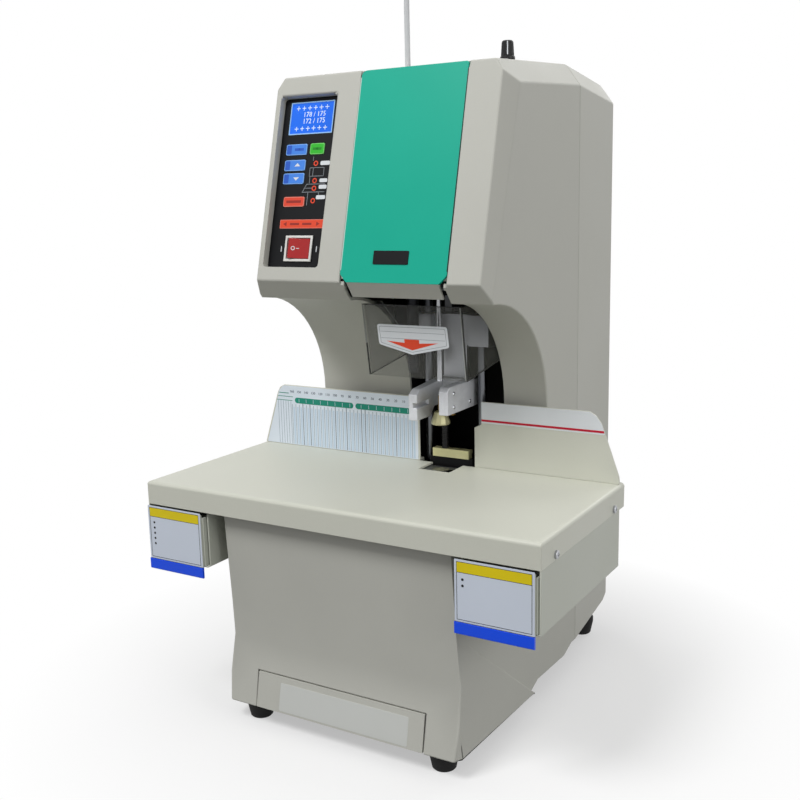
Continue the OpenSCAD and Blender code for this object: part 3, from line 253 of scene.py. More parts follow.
steel_polished = finish("steel_polished", (196, 198, 202), 0.22, 1.0, grain=0.6, relief=0.004, spread=0.06,
                        stretch=(1.0, 1.0, 0.08))
steel_milled = finish("steel_milled", (172, 174, 178), 0.36, 1.0, grain=0.5, relief=0.008, spread=0.08,
                      stretch=(1.0, 0.1, 1.0))
steel_shaft = finish("steel_shaft", (104, 106, 110), 0.28, 1.0, grain=0.6, relief=0.004, spread=0.08,
                     stretch=(1.0, 1.0, 0.08))
steel_blackened = finish("steel_blackened", (52, 53, 57), 0.45, 0.8, grain=1.2, relief=0.02, spread=0.2)
foot_casting = finish("foot_casting", (224, 226, 231), 0.34, 0.2, grain=1.4, relief=0.02, spread=0.08, patch=9)
slider_aluminium = finish("slider_aluminium", (96, 98, 102), 0.4, 1.0, grain=0.5, relief=0.01, spread=0.08,
                          stretch=(0.1, 1.0, 1.0))
nozzle_zinc = finish("nozzle_zinc", (172, 168, 130), 0.35, 0.6, grain=0.5, relief=0.012, spread=0.12, patch=6)
brass = finish("brass", (200, 168, 92), 0.3, 1.0, grain=0.5, relief=0.01, spread=0.1)
guide_brass = finish("guide_brass", (142, 112, 56), 0.4, 0.8, grain=0.5, relief=0.01, spread=0.15)
stop_brass = finish("stop_brass", (214, 210, 160), 0.38, 0.5, grain=0.5, relief=0.01, spread=0.1,
                    stretch=(0.1, 1.0, 1.0))
motor_paint = finish("motor_paint", (84, 86, 92), 0.4, 0.3, grain=1.0, relief=0.03, spread=0.1)
winding_red = finish("winding_red", (140, 52, 34), 0.45, grain=0.6, relief=0.05, spread=0.12, stretch=(6.0, 1.0, 1.0))
zinc_sheet = finish("zinc_sheet", (150, 154, 158), 0.4, 0.9, grain=6.0, relief=0.01, spread=0.15, patch=20)
guard_clear = finish("guard_clear", (96, 97, 92), 0.1, grain=3.0, relief=0.002, spread=0.05,
                     sockets={"Alpha": 0.24, "Specular IOR Level": 0.35})
guard_edge = finish("guard_edge", (18, 19, 19), 0.35, grain=1.0, relief=0.01, spread=0.2)
guard_edge_light = finish("guard_edge_light", (158, 161, 158), 0.35, grain=1.0, relief=0.01)
display_glass = finish("display_glass", (20, 104, 226), 0.25, grain=0.4, relief=0.002, spread=0.12, patch=24,
                       sockets={"Emission Color": linear((16, 96, 236)), "Emission Strength": 0.2})
display_frame = printed("display_frame", (160, 205, 250), 0.3)
display_figures = finish("display_figures", (225, 240, 255), 0.4, grain=0.5, relief=0.002,
                         sockets={"Emission Color": linear((220, 238, 255)), "Emission Strength": 0.15})
board_green = finish("board_green", (24, 104, 52), 0.4, grain=0.6, relief=0.02)
white_plastic = finish("white_plastic", (226, 226, 222), 0.35, grain=0.7, relief=0.01)
rocker_red = finish("rocker_red", (168, 10, 14), 0.22, grain=0.8, relief=0.006,
                    sockets={"Coat Weight": 0.3, "Coat Roughness": 0.1})
key_blue_rim, key_blue, key_blue_dark = key_tones("key_blue", (132, 184, 250), (70, 136, 232), (40, 92, 196))
key_green_rim, key_green, key_green_dark = key_tones("key_green", (128, 226, 118), (48, 186, 40), (26, 138, 26))
key_red_rim, key_red, key_red_dark = key_tones("key_red", (242, 140, 122), (226, 74, 52), (150, 44, 34))
print_white = printed("print_white", (226, 230, 234), spread=0.03)
print_grey = printed("print_grey", (140, 146, 152), spread=0.03)
print_red = printed("print_red", (230, 75, 45), 0.45, spread=0.04)
print_black = printed("print_black", (24, 24, 28))
scale_paper = finish("scale_paper", (224, 233, 243), 0.42, grain=0.6, relief=0.006, spread=0.02, patch=60)
scale_ink = printed("scale_ink", (140, 156, 168), relief=0.002)
scale_ink_mid = printed("scale_ink_mid", (96, 112, 130), relief=0.002)
scale_ink_dark = printed("scale_ink_dark", (62, 76, 96), relief=0.002)
scale_blue = printed("scale_blue", (198, 216, 232), 0.45, relief=0.002)
scale_green = printed("scale_green", (30, 138, 116), 0.42)
card_white = printed("card_white", (212, 220, 233), 0.4, spread=0.02)
card_yellow = printed("card_yellow", (228, 206, 16), 0.42)
lip_blue = finish("lip_blue", (8, 78, 240), 0.35, grain=0.8, relief=0.006)
limit_red = printed("limit_red", (192, 14, 46), 0.42)
label_paper = printed("label_paper", (206, 208, 204), 0.45, spread=0.02)
tube_nylon = finish("tube_nylon", (206, 208, 210), 0.35, grain=0.8, relief=0.01, spread=0.03,
                    sockets={"Subsurface Weight": 0.2, "Subsurface Radius": (0.002, 0.002, 0.002)})


# ---- making pieces -------------------------------------------------------------------------------

def piece(name, bm, material, body, replaces=(), sharp=35):
    """One finished piece of the machine, on the body that carries it."""
    bmesh.ops.recalc_face_normals(bm, faces=bm.faces)
    shape = bpy.data.meshes.new(name)
    bm.to_mesh(shape)
    bm.free()
    item = bpy.data.objects.new(name, shape)
    bpy.context.scene.collection.objects.link(item)
    shape.materials.clear()
    shape.materials.append(material)
    shape.shade_smooth()
    shape.set_sharp_from_angle(angle=math.radians(sharp))
    even = item.modifiers.new("even_shading", "WEIGHTED_NORMAL")
    even.keep_sharp = True
    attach(item, body)
    if replaces:
        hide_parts(*replaces)
    return item


def skin(bm, rings, closed=False):
    """Faces between each ring of vertices and the next, and from the last to the first where it is closed."""
    for a, b in zip(rings, rings[1:] + rings[:1] if closed else rings[1:]):
        for i in range(len(a)):
            j = (i + 1) % len(a)
            bm.faces.new((a[i], a[j], b[j], b[i]))


def raise_outline(bm, outline, place, low, high, edge=0.0):
    """Adds an outline raised from low to high, and softens its upper edge by the given width."""
    bottom, top = ([bm.verts.new(place(u, v, level)) for u, v in outline] for level in (low, high))
    bm.faces.new(bottom[::-1])
    cap = bm.faces.new(top)
    skin(bm, [bottom, top])
    if edge:
        bmesh.ops.bevel(bm, geom=list(cap.edges), offset=edge * MM, segments=2, profile=0.6, affect="EDGES",
                        clamp_overlap=True)


def plates(name, outlines, place, low, high, material, body, slot, edge=0.0, replaces=()):
    """Flat pieces, each an outline raised from low to high, with a softened front edge."""
    bm = bmesh.new()
    for outline in outlines:
        raise_outline(bm, outline, place, low, high, edge)
    return piece(name, bm, material, body, replaces)


def frames(name, pairs, place, low, high, material, body, slot):
    """Flat rings, each between two outlines with the same number of points."""
    bm = bmesh.new()
    for outer, inner in pairs:
        skin(bm, [[bm.verts.new(place(u, v, w)) for u, v in outline]
                  for outline, w in ((outer, low), (outer, high), (inner, high), (inner, low))], closed=True)
    return piece(name, bm, material, body)


def lathe(name, profile, centre, material, body, steps, replaces, ribs, rib_depth, rib_range):
    """A turned piece about a vertical axis, with a ribbed side between two heights."""
    bm = bmesh.new()
    rings = []
    for r, z in profile:
        ring = []
        for i in range(steps):
            a = 2 * math.pi * i / steps
            reach = r
            if rib_range[0] <= z <= rib_range[1]:
                reach -= rib_depth * (0.5 - 0.5 * math.cos(a * ribs))
            ring.append(bm.verts.new(Vector((centre[0] + reach * math.cos(a), centre[1] + reach * math.sin(a),
                                             centre[2] + z)) * MM))
        rings.append(ring)
    skin(bm, rings)
    bm.faces.new(rings[0][::-1])
    bm.faces.new(rings[-1])
    return piece(name, bm, material, body, replaces)


def softened(node, name, material, body, slot, width, pick=None, least=3.0, angle=14, segments=3, more=(),
             hollow=()):
    """A copy of a solid with its outer edges rounded. pick says which edges by their middle point and direction.
    more holds pairs of another width and its pick, and hollow holds such pairs for inner corners, which come first."""
    bm = bmesh.new()
    bm.from_mesh(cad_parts[node].data)
    bmesh.ops.remove_doubles(bm, verts=bm.verts, dist=0.004 * MM)
    bmesh.ops.dissolve_limit(bm, angle_limit=math.radians(0.8), verts=bm.verts, edges=bm.edges)
    rounded_off = set()
    turns = [(o, choose, False) for o, choose in hollow] + [(o, choose, True) for o, choose in more]
    turns.append((width, pick, True))
    for offset, choose, outer in turns:
        edges = []
        for e in bm.edges:
            if len(e.link_faces) != 2 or e.is_convex != outer or e.calc_length() < least * MM or e in rounded_off:
                continue
            if e.calc_face_angle(0.0) < math.radians(angle):
                continue
            middle = (e.verts[0].co + e.verts[1].co) / (2 * MM)
            line = (e.verts[1].co - e.verts[0].co).normalized()
            if choose is None or choose(middle, line):
                edges.append(e)
        if edges:
            made = bmesh.ops.bevel(bm, geom=edges, offset=offset * MM, segments=segments, profile=0.5, affect="EDGES",
                                   clamp_overlap=False, miter_outer="ARC")
            rounded_off.update(e for e in made["edges"] if e.is_valid)
    bmesh.ops.dissolve_degenerate(bm, dist=0.001 * MM, edges=bm.edges)
    return piece(name, bm, material, body, (node,))


def figures(name, rows, place, size, low, high, material, body, slot, flip=1):
    """Plain numerals, each row (text, across, along); flip is -1 where the second measure runs downwards."""
    bm = bmesh.new()
    for text, u, v in rows:
        curve = bpy.data.curves.new(name, "FONT")
        curve.body = text
        curve.size = size
        curve.align_x = "CENTER"
        curve.align_y = "CENTER"
        curve.resolution_u = 2
        curve.extrude = 0.5
        glyph = bpy.data.objects.new(name, curve)
        bpy.context.scene.collection.objects.link(glyph)
        shape = bpy.data.meshes.new_from_object(glyph.evaluated_get(bpy.context.evaluated_depsgraph_get()))
        bpy.data.objects.remove(glyph)
        for vertex in shape.vertices:
            x, y, z = vertex.co
            vertex.co = place(u + x, v + flip * y, low + (z + 0.5) * (high - low))
        bm.from_mesh(shape)
    bmesh.ops.remove_doubles(bm, verts=bm.verts, dist=0.002 * MM)
    return piece(name, bm, material, body)


def rails(name, lines, material, body, slot):
    """Square bars between pairs of points, each line (from, to, width)."""
    bm = bmesh.new()
    for start, end, width in lines:
        start, end = Vector(start), Vector(end)
        along = (end - start).normalized()
        side = along.cross(Vector((1, 0, 0)) if abs(along.x) < 0.9 else Vector((0, 1, 0))).normalized() * width / 2
        up = along.cross(side).normalized() * width / 2
        rows = [[bm.verts.new((p + a * side + b * up) * MM) for a, b in ((-1, -1), (1, -1), (1, 1), (-1, 1))]
                for p in (start, end)]
        bm.faces.new(rows[0])
        bm.faces.new(rows[1])
        skin(bm, rows)
    return piece(name, bm, material, body)


# ---- what repeats: trees of geometry nodes ---------------------------------------------------------

def new_tree(name, inputs):
    """An empty tree, the sockets of its inputs and its output node."""
    tree = bpy.data.node_groups.new(name, "GeometryNodeTree")
    tree.interface.new_socket("Geometry", in_out="INPUT", socket_type="NodeSocketGeometry")
    for label, kind, value in inputs:
        socket = tree.interface.new_socket(label, in_out="INPUT", socket_type=kind)
        socket.default_value = value
    tree.interface.new_socket("Geometry", in_out="OUTPUT", socket_type="NodeSocketGeometry")
    return tree, tree.nodes.new("NodeGroupInput").outputs, tree.nodes.new("NodeGroupOutput")


def close_tree(tree, geometry, output, material):
    """Gives the geometry its material and leads it out of the tree."""
    real = add(tree, "GeometryNodeRealizeInstances", {0: geometry})
    tree.links.new(add(tree, "GeometryNodeSetMaterial", {"Geometry": real, "Material": material}), output.inputs[0])
    return tree


def bar_row(material):
    """Equal bars side by side, from the row's first place to its right."""
    tree, given, output = new_tree("bar_row", (
        ("Count", "NodeSocketInt", 10), ("Pitch", "NodeSocketFloat", 5.0), ("Width", "NodeSocketFloat", 0.5),
        ("Height", "NodeSocketFloat", 10.0), ("Depth", "NodeSocketFloat", 0.1)))
    step = add(tree, "ShaderNodeCombineXYZ", {"X": given["Pitch"]})
    line = add(tree, "GeometryNodeMeshLine", {"Count": given["Count"], "Offset": step})
    size = add(tree, "ShaderNodeCombineXYZ", {"X": given["Width"], "Y": given["Height"], "Z": given["Depth"]})
    bar = add(tree, "GeometryNodeMeshCube", {"Size": size})
    row = add(tree, "GeometryNodeInstanceOnPoints", {"Points": line, "Instance": bar})
    return close_tree(tree, row, output, material)


def screw_heads(material):
    """A low domed head with a cross recess on every point of the host."""
    tree, given, output = new_tree("screw_heads", (
        ("Head Radius", "NodeSocketFloat", 3.6), ("Head Height", "NodeSocketFloat", 1.2),
        ("Recess Length", "NodeSocketFloat", 3.8), ("Recess Width", "NodeSocketFloat", 0.9)))
    radius, height = given["Head Radius"], given["Head Height"]
    dome = add(tree, "GeometryNodeMeshUVSphere", {"Segments": 28, "Rings": 12, "Radius": 1.0})
    low = add(tree, "ShaderNodeCombineXYZ", {"X": radius, "Y": radius, "Z": height})
    head = add(tree, "GeometryNodeTransform", {"Geometry": dome, "Scale": low})
    up = add(tree, "ShaderNodeCombineXYZ", {"Z": height})
    arms = []
    for first, second in (("Recess Length", "Recess Width"), ("Recess Width", "Recess Length")):
        size = add(tree, "ShaderNodeCombineXYZ", {"X": given[first], "Y": given[second], "Z": height})
        arm = add(tree, "GeometryNodeMeshCube", {"Size": size})
        arms.append(add(tree, "GeometryNodeTransform", {"Geometry": arm, "Translation": up}))
    cut = add(tree, "GeometryNodeMeshBoolean", {"Mesh 1": head, "Mesh 2": arms}, operation="DIFFERENCE")
    spread = add(tree, "GeometryNodeInstanceOnPoints", {"Points": given["Geometry"], "Instance": cut})
    return close_tree(tree, spread, output, material)


def grown(name, tree, settings, place, material, body, slot, points=((0.0, 0.0, 0.0),)):
    """Builds a tree's mesh in millimetres and moves it to its place."""
    shape = bpy.data.meshes.new(name)
    shape.from_pydata([tuple(p) for p in points], [], [])
    host = bpy.data.objects.new(name, shape)
    bpy.context.scene.collection.objects.link(host)
    build = host.modifiers.new("build", "NODES")
    build.node_group = tree
    for socket in tree.interface.items_tree:
        if socket.item_type == "SOCKET" and socket.in_out == "INPUT" and socket.name in settings:
            build[socket.identifier] = settings[socket.name]
    host.update_tag()
    built = bpy.data.meshes.new_from_object(host.evaluated_get(bpy.context.evaluated_depsgraph_get()))
    bpy.data.objects.remove(host)
    for vertex in built.vertices:
        vertex.co = place(*vertex.co)
    bm = bmesh.new()
    bm.from_mesh(built)
    return piece(name, bm, material, body)


# ---- finishes of the solids that stay -------------------------------------------------------------

NODE_FINISHES = {
    black_enamel: ("bottom_plate", "column_frame", "lower_deck", "bay_cheeks", "stop_block"),
    foot_rubber: ("feet",),
    steel_polished: ("cross_rods", "cover_hinge_pin", "drill_spindle", "hollow_drill"),
    steel_shaft: ("guide_rods",),
    steel_milled: ("press_slide", "screws", "cutter_blade", "die_slide", "speed_potentiometer"),
    steel_blackened: ("drill_motor", "rivet_ram", "feed_roller", "idler_roller"),
    slider_aluminium: ("drill_slider", "rivet_slider", "tool_plate"),
    brass: ("press_bushes", "press_pinion", "drill_pinion", "rivet_pinion"),
    motor_paint: ("press_motor", "lift_motors"),
    winding_red: ("shift_solenoid",),
    zinc_sheet: ("power_supply", "chip_chute"),
    board_green: ("control_board",),
    black_moulding: ("mains_inlet", "stop_screw"),
    black_fascia: ("control_fascia",),
    guard_clear: ("guard",),
    display_glass: ("display_panel",),
    tube_nylon: ("rivet_tube",),
    stop_brass: ("stop_strip",),
    drawer_enamel: ("left_drawer", "right_drawer"),
    casing_moulding: ("chip_drawer",),
    white_plastic: ("switch_bezel",),
}


def dress_solids():
    for material, names in NODE_FINISHES.items():
        for name in names:
            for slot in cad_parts[name].material_slots:
                slot.material = material


# ---- casings ---------------------------------------------------------------------------------------

def casings():
    def outer_front(m, line):
        along_face = (m.y - HEAD_EDGE[0]) * -COS + (m.z - HEAD_EDGE[1]) * SIN
        recess = -121 < m.x < -50 and m.z < 632 and m.y < -50 and m.z > 455 and along_face > -3
        return (abs(m.x) > 100 or m.z > 640 or m.y > 80 or along_face > -1) and not recess and m.z > 250

    def recess_rim(m, line):
        out = (m.y - HEAD_EDGE[0]) * -COS + (m.z - HEAD_EDGE[1]) * SIN
        return -121 < m.x < -50 and -1.0 < out < 1.0 and 455 < m.z < 632

    def recess_corner(m, line):
        return -121 < m.x < -50 and m.y < -50 and 455 < m.z < 632 and abs(line.y) > 0.9

    softened("front_casing", "front_moulding", casing_moulding, *ON_CASING, 1.6, outer_front,
             least=2.0, more=((3.0, recess_rim),), hollow=((3.5, recess_corner),))
    softened("rear_casing", "rear_moulding", casing_moulding, *ON_CASING, 1.4,
             lambda m, line: abs(m.x) > 100 or m.z > 630)
    softened("base_casing", "base_moulding", casing_moulding, *ON_CASING, 1.6,
             lambda m, line: m.z > 18 and (abs(m.x) > 127 or m.y < -170))
    # a small screw in the roof's edge beside the knob
    grown("roof_screw", screw_heads(steel_milled), {"Head Radius": 2.4, "Head Height": 1.0, "Recess Length": 2.4,
          "Recess Width": 0.6}, on_roof, steel_milled, *ON_STEEL,
          ((110.0, -30.0, 0.0),))


# ---- table, fence and drawers ----------------------------------------------------------------------

def table_and_fence():
    softened("work_table", "table_tray", table_enamel, *ON_TABLE, 0.7,
             lambda m, line: abs(line.z) > 0.8 or m.z > 244, least=4.0, angle=30, segments=2)
    softened("fence", "fence_plates", table_enamel, *ON_TABLE, 0.6, None, least=1.5, segments=2)
    softened("drawer_housings", "drawer_boxes", drawer_enamel, *ON_TABLE, 0.5, None, least=3.0, segments=2)


def ruler():
    """The scale sheet on the left fence plate: numerals every 10 mm, lines every 5 mm and two green bars."""
    sheet = cornered([(-214.5, 246.2), (-9.0, 246.2), (-9.0, 315.2), (-188.0, 315.2), (-194.5, 309.0), (-200.0, 290.0)],
                     [1, 1, 2, 6, 6, 4])
    plates("scale_sheet", [sheet], on_fence, 0.0, 0.25, scale_paper, *ON_TABLE, 0.1)
    rows = bar_row(scale_ink)
    grown("scale_lines", rows, {"Count": 33, "Pitch": 5.0, "Width": 0.55, "Height": 47.0, "Depth": 0.1},
          lambda x, y, z: on_fence(x - 176.0, y + 270.5, z + 0.3), scale_ink, *ON_TABLE)
    grown("scale_tints", bar_row(scale_blue), {"Count": 33, "Pitch": 5.0, "Width": 2.2, "Height": 44.0, "Depth": 0.04},
          lambda x, y, z: on_fence(x - 173.5, y + 269.0, z + 0.27), scale_blue, *ON_TABLE)
    grown("scale_fine_lines", rows, {"Count": 6, "Pitch": 3.6, "Width": 0.45, "Height": 50.0, "Depth": 0.1},
          lambda x, y, z: on_fence(x - 196.0, y + 272.0, z + 0.3), scale_ink, *ON_TABLE)
    long_marks = [rounded(x - 0.35, 247.0, x + 0.35, 296.0, 0.2, 1) for x in (-161, -151, -116, -101, -81, -76, -36)]
    plates("scale_long_marks", long_marks, on_fence, 0.25, 0.42, scale_ink_mid, *ON_TABLE)
    bars = [rounded(-172.0, 295.5, -91.5, 302.0, 3.2, 6), rounded(-88.5, 295.5, -13.0, 302.0, 3.2, 6)]
    plates("scale_bars", bars, on_fence, 0.25, 0.5, scale_green, *ON_TABLE, 0.1)
    ticks = [rounded(x - 0.25, 296.6, x + 0.25, 300.9, 0.1, 1) for x in range(-166, -92, 10)]
    ticks += [rounded(x - 0.25, 296.6, x + 0.25, 300.9, 0.1, 1) for x in range(-81, -14, 10)]
    plates("scale_bar_ticks", ticks, on_fence, 0.5, 0.6, scale_blue, *ON_TABLE)
    heads = stroke([(-204.0 + 10, 306.5), (-181.0, 306.5)], 0.8) + stroke([(-196.0, 302.5), (-175.0, 302.5)], 0.6)
    heads += stroke([(-198.0, 298.0), (-176.0, 298.0)], 0.6)
    plates("scale_rules", heads, on_fence, 0.25, 0.4, scale_green, *ON_TABLE)
    numerals = [(str(160 - 10 * i), -176.0 + 10 * i, 308.6) for i in range(16)]
    figures("scale_numerals", numerals, on_fence, 4.0, 0.25, 0.4, scale_ink_dark, *ON_TABLE)


def limit_strip():
    """A bare white strip with a red line on the right fence plate."""
    strip = cornered([(67.4, 293.6), (201.6, 293.6), (198.2, 303.6), (192.2, 311.8), (185.2, 315.6), (67.4, 315.6)],
                     [0.6, 1, 2, 3, 3, 0.6])
    plates("limit_strip", [strip], on_fence, 0.0, 0.25, print_white, *ON_TABLE, 0.1)
    line = [(67.6, 295.4), (200.8, 295.4), (200.2, 297.6), (67.6, 297.6)]
    plates("limit_line", [line], on_fence, 0.25, 0.4, limit_red, *ON_TABLE)


def drawer_card(body, x0, x1, bullets):
    """A card on a side drawer's front, and the blue finger lip under it."""
    front = on_front(DRAWER_FRONT)
    margin, line, low, top = 2.2, 0.45, 166.0, 218.8
    left, right = x0 + margin + line, x1 - margin - line
    plates(body + "_card", [rounded(x0, 164.2, x1, 220.6, 0.8)], front, 0.0, 0.4, card_white, body, "table_sheet",
           0.15)
    outer, inner = box(x0 + margin, low, x1 - margin, top), box(left, low + line, right, top - line)
    frames(body + "_card_frame", [(outer, inner)], front, 0.4, 0.52, print_black, body, "black_plastic")
    plates(body + "_card_header", [box(left, top - 9.4, right, top - line)], front, 0.4, 0.5, card_yellow, body,
           "table_sheet")
    rules = stroke([(left, top - 9.6), (right, top - 9.6)], 0.4)
    plates(body + "_card_rule", rules, front, 0.4, 0.54, print_black, body, "black_plastic")
    dots = [disc(x0 + 8.0, 203.0 - 5.6 * i, 1.25, 16) for i in range(bullets)]
    plates(body + "_card_dots", dots, front, 0.4, 0.54, print_black, body, "black_plastic")
    lip = cornered([(-199.7, 152.7), (-197.1, 152.7), (-197.1, 164.0), (-199.7, 164.0)], [1.2, 1.0, 0, 0.4])
    plates(body + "_lip", [lip], from_side, x0 - 0.15, x1 + 0.15, lip_blue, body, "table_sheet")


def drawers():
    drawer_card("left_drawer", -217.5, -147.0, 5)
    drawer_card("right_drawer", 139.0, 214.0, 2)
    label = rounded(-68.5, 23.0, 80.0, 50.5, 1.0)
    plates("chip_drawer_label", [label], on_base, 0.0, 0.25, label_paper, "chip_drawer", "casing_moulding", 0.12)


# ---- head front ------------------------------------------------------------------------------------

def green_cover():
    """The cover's sheet and its grey foot strip, with the hinge roll behind its top edge."""
    left, right, mid, half = -25.0, 91.0, COVER_MID, 50.5
    sheet = cornered([(left, 0.5), (right, 0.5), (right, FACE_LENGTH - 8), (mid + half, FACE_LENGTH),
                      (mid - half, FACE_LENGTH), (left, FACE_LENGTH - 8)], [6, 2.5, 1.2, 0.8, 0.8, 1.2])
    plates("cover_sheet", [sheet], on_face, -2.5, 0.0, cover_green, "front_cover", "cover_green", 0.9,
           ("front_cover",))
    # painted highlight: a pale line along the cover's left edge, where the edge catches the light
    plates("cover_edge_highlight_line", stroke([(left + 0.4, 8.0), (left + 0.4, FACE_LENGTH - 12)], 0.8), on_face, -2.0, 0.05,
           cover_edge_highlight, "front_cover", "cover_green")
    # painted shade: a dark line along the cover's right edge, where the edge falls in shade
    plates("cover_edge_shade_line", stroke([(right - 0.25, 8.0), (right - 0.25, FACE_LENGTH - 12)], 0.5), on_face, -2.0, 0.03,
           cover_edge_shade, "front_cover", "cover_green")
    strip = [(-117.8, 446.8), (-107.0, 432.0), (-105.0, 433.0), (-115.5, 448.5)]
    plates("cover_foot_strip", [strip], from_side, mid - half + 0.5, mid + half - 0.5, casing_moulding, "front_cover",
           "cover_green")
    plates("cover_hinge_roll", [disc(-63.4, 642.8, 2.6, 20)], from_side, left + 6, right - 6, cover_green,
           "front_cover", "cover_green")
    plates("badge_plate", [rounded(11.0, 176.0, 49.4, 189.0, 1.0)], on_face, 0.0, 0.7, black_fascia, "front_cover",
           "black_plastic", 0.2)


def key(body, at, rim, cap, slot):
    """A key: its rim stands around a flat coloured field."""
    x, s, w, h = at
    plates(body + "_cap", [rounded(x, s, x + w, s + h, 1.6)], on_face, KEY_FOOT, KEY_RIM, rim, body, slot, 0.3,
           (body,))
    field = rounded(x + 0.8, s + 0.8, x + w - 0.8, s + h - 0.8, 1.0)
    plates(body + "_field", [field], on_face, KEY_RIM - 0.05, KEY_FIELD, cap, body, slot)


def arrow(name, body, x, s, up):
    """A plain triangle that points up or down."""
    reach = 3.4 * (-1 if up else 1)
    plates(name, [[(x - 3.6, s - reach / 2), (x + 3.6, s - reach / 2), (x, s + reach / 2)]], on_face,
           KEY_FIELD - 0.05, KEY_FIELD + 0.1, print_white, body, "bezel_white")


def keypad():
    spots = {"key_mode": (-111.5, 67, 25.5, 11), "key_start": (-82, 67, 17, 11), "key_up": (-111.5, 83, 25.5, 11),
             "key_down": (-111.5, 96.5, 25.5, 11), "key_stop": (-108, 120.5, 25.5, 10)}
    shades = {"key_mode": (key_blue_rim, key_blue, key_blue_dark, "key_blue"),
              "key_start": (key_green_rim, key_green, key_green_dark, "key_green"),
              "key_stop": (key_red_rim, key_red, key_red_dark, "key_red")}
    for body, at in spots.items():
        rim, cap, dark, slot = shades.get(body, shades["key_mode"])
        key(body, at, rim, cap, slot)
        x, s, w, h = at
        if slot == "key_blue":
            corner = rounded(x + 0.9, s + 0.9, x + 6.8, s + h - 0.9, 0.8)
            plates(body + "_corner", [corner], on_face, KEY_FIELD - 0.01, KEY_FIELD + 0.05, dark, body, slot)
        dashes = {"key_start": (x + 4.5, x + 12.5, s + h / 2), "key_stop": (x + 5.0, x + 20.5, s + h / 2),
                  "key_mode": (x + 12.0, x + 20.5, s + h / 2)}
        if body in dashes:
            x0, x1, row = dashes[body]
            gap_start, gap_end = x0 + (x1 - x0) * 0.42, x0 + (x1 - x0) * 0.58
            marks = stroke([(x0, row), (gap_start, row)], 2.6) + stroke([(gap_end, row), (x1, row)], 2.6)
            plates(body + "_marks", marks, on_face, KEY_FIELD - 0.01, KEY_FIELD + 0.07, dark, body, slot)
    arrow("key_up_arrow", "key_up", -95.5, 88.0, True)
    arrow("key_down_arrow", "key_down", -95.5, 102.5, False)


def display():
    x, s, w, h = -111.5, 24, 53, 33
    outer, inner = rounded(x, s, x + w, s + h, 0.8), rounded(x + 1.1, s + 1.1, x + w - 1.1, s + h - 1.1, 0.6)
    frames("display_rim", [(outer, inner)], on_face, -8.3, -7.9, display_frame, "machine", "display_blue")
    rows = [("178 / 175", x + w / 2 + 3, s + 13.0), ("172 / 175", x + w / 2 + 3, s + 19.8)]
    figures("display_numerals", rows, on_face, 7.2, -8.3, -8.15, display_figures, *IN_WHITE, flip=-1)
    for index, row in enumerate((s + 6.2, s + 27.0)):
        for word, width, height in (("dots", 4.6, 0.7), ("ticks", 0.7, 4.4)):
            grown("display_%s_%d" % (word, index + 1), bar_row(display_figures),
                  {"Count": 6, "Pitch": 7.0, "Width": width, "Height": height, "Depth": 0.12},
                  lambda u, v, z, row=row: on_face(x + 9.0 + u, row + v, -8.24 + z), display_figures, *IN_WHITE)


def panel_print():
    """What is printed on the fascia: an orange band, a plain line figure of the table, rings and lozenges."""
    band = rounded(-109.6, 143.6, -56.0, 152.4, 0.8)
    plates("fascia_band", [band], on_face, FASCIA, FASCIA + 0.2, print_red, *ON_PANEL, 0.08)
    rim = rounded(-109.1, 144.1, -56.5, 151.9, 0.5)
    frames("fascia_band_rim", [(band, rim)], on_face, FASCIA + 0.15, FASCIA + 0.26, key_red_rim, *ON_PANEL)
    wedges = [[(-105.5, 148.0), (-101.5, 145.8), (-101.5, 150.2)], [(-61.0, 148.0), (-65.0, 145.8), (-65.0, 150.2)]]
    wedges += stroke([(-96.0, 148.0), (-87.0, 148.0)], 2.2) + stroke([(-81.0, 148.0), (-72.0, 148.0)], 2.2)
    plates("fascia_band_marks", wedges, on_face, FASCIA + 0.2, FASCIA + 0.28, key_red_dark, *ON_PANEL)
    rings = [(-73.5, 87.2), (-72.8, 104.6), (-72.5, 112.3), (-72.3, 124.8)]
    pairs = [(disc(x, s, 2.7, 20), disc(x, s, 1.5, 20)) for x, s in rings]
    frames("fascia_rings", pairs, on_face, FASCIA, FASCIA + 0.3, print_red, *ON_PANEL)
    lines = stroke([(-77.0, 80.5), (-77.0, 84.0)], 0.5)
    lines += stroke([(-80.0, 91.5), (-63.0, 91.5), (-63.0, 100.0), (-80.0, 100.0), (-80.0, 91.5)], 0.5)
    lines += stroke([(-76.0, 91.5), (-76.0, 100.0)], 0.5) + stroke([(-79.0, 100.0), (-79.0, 107.0)], 0.5)
    lines += stroke([(-82.0, 108.0), (-60.0, 108.0)], 0.5)
    lines += stroke([(-82.0, 108.0), (-86.5, 116.0), (-60.0, 116.0)], 0.6)
    lines += stroke([(-83.0, 112.0), (-75.5, 112.0)], 0.5)
    lines += stroke([(-79.5, 116.0), (-79.5, 129.0)], 0.6) + stroke([(-67.0, 116.0), (-65.5, 121.0)], 0.5)
    plates("fascia_lines", lines, on_face, FASCIA, FASCIA + 0.18, print_grey, *ON_PANEL)
    tags = [rounded(-68.0, 85.0, -56.5, 89.2, 1.4), rounded(-67.0, 102.6, -57.5, 106.4, 1.4),
            rounded(-67.0, 109.0, -57.5, 113.0, 1.4), rounded(-69.0, 119.4, -58.0, 123.4, 1.4)]
    plates("fascia_tags", tags, on_face, FASCIA, FASCIA + 0.22, print_white, *IN_WHITE)
    marks = stroke([(-104.6, 171.0), (-104.6, 175.6)], 0.9) + stroke([(-61.6, 171.0), (-61.6, 175.6)], 0.9)
    plates("fascia_switch_marks", marks, on_face, FASCIA, FASCIA + 0.2, print_white, *IN_WHITE)


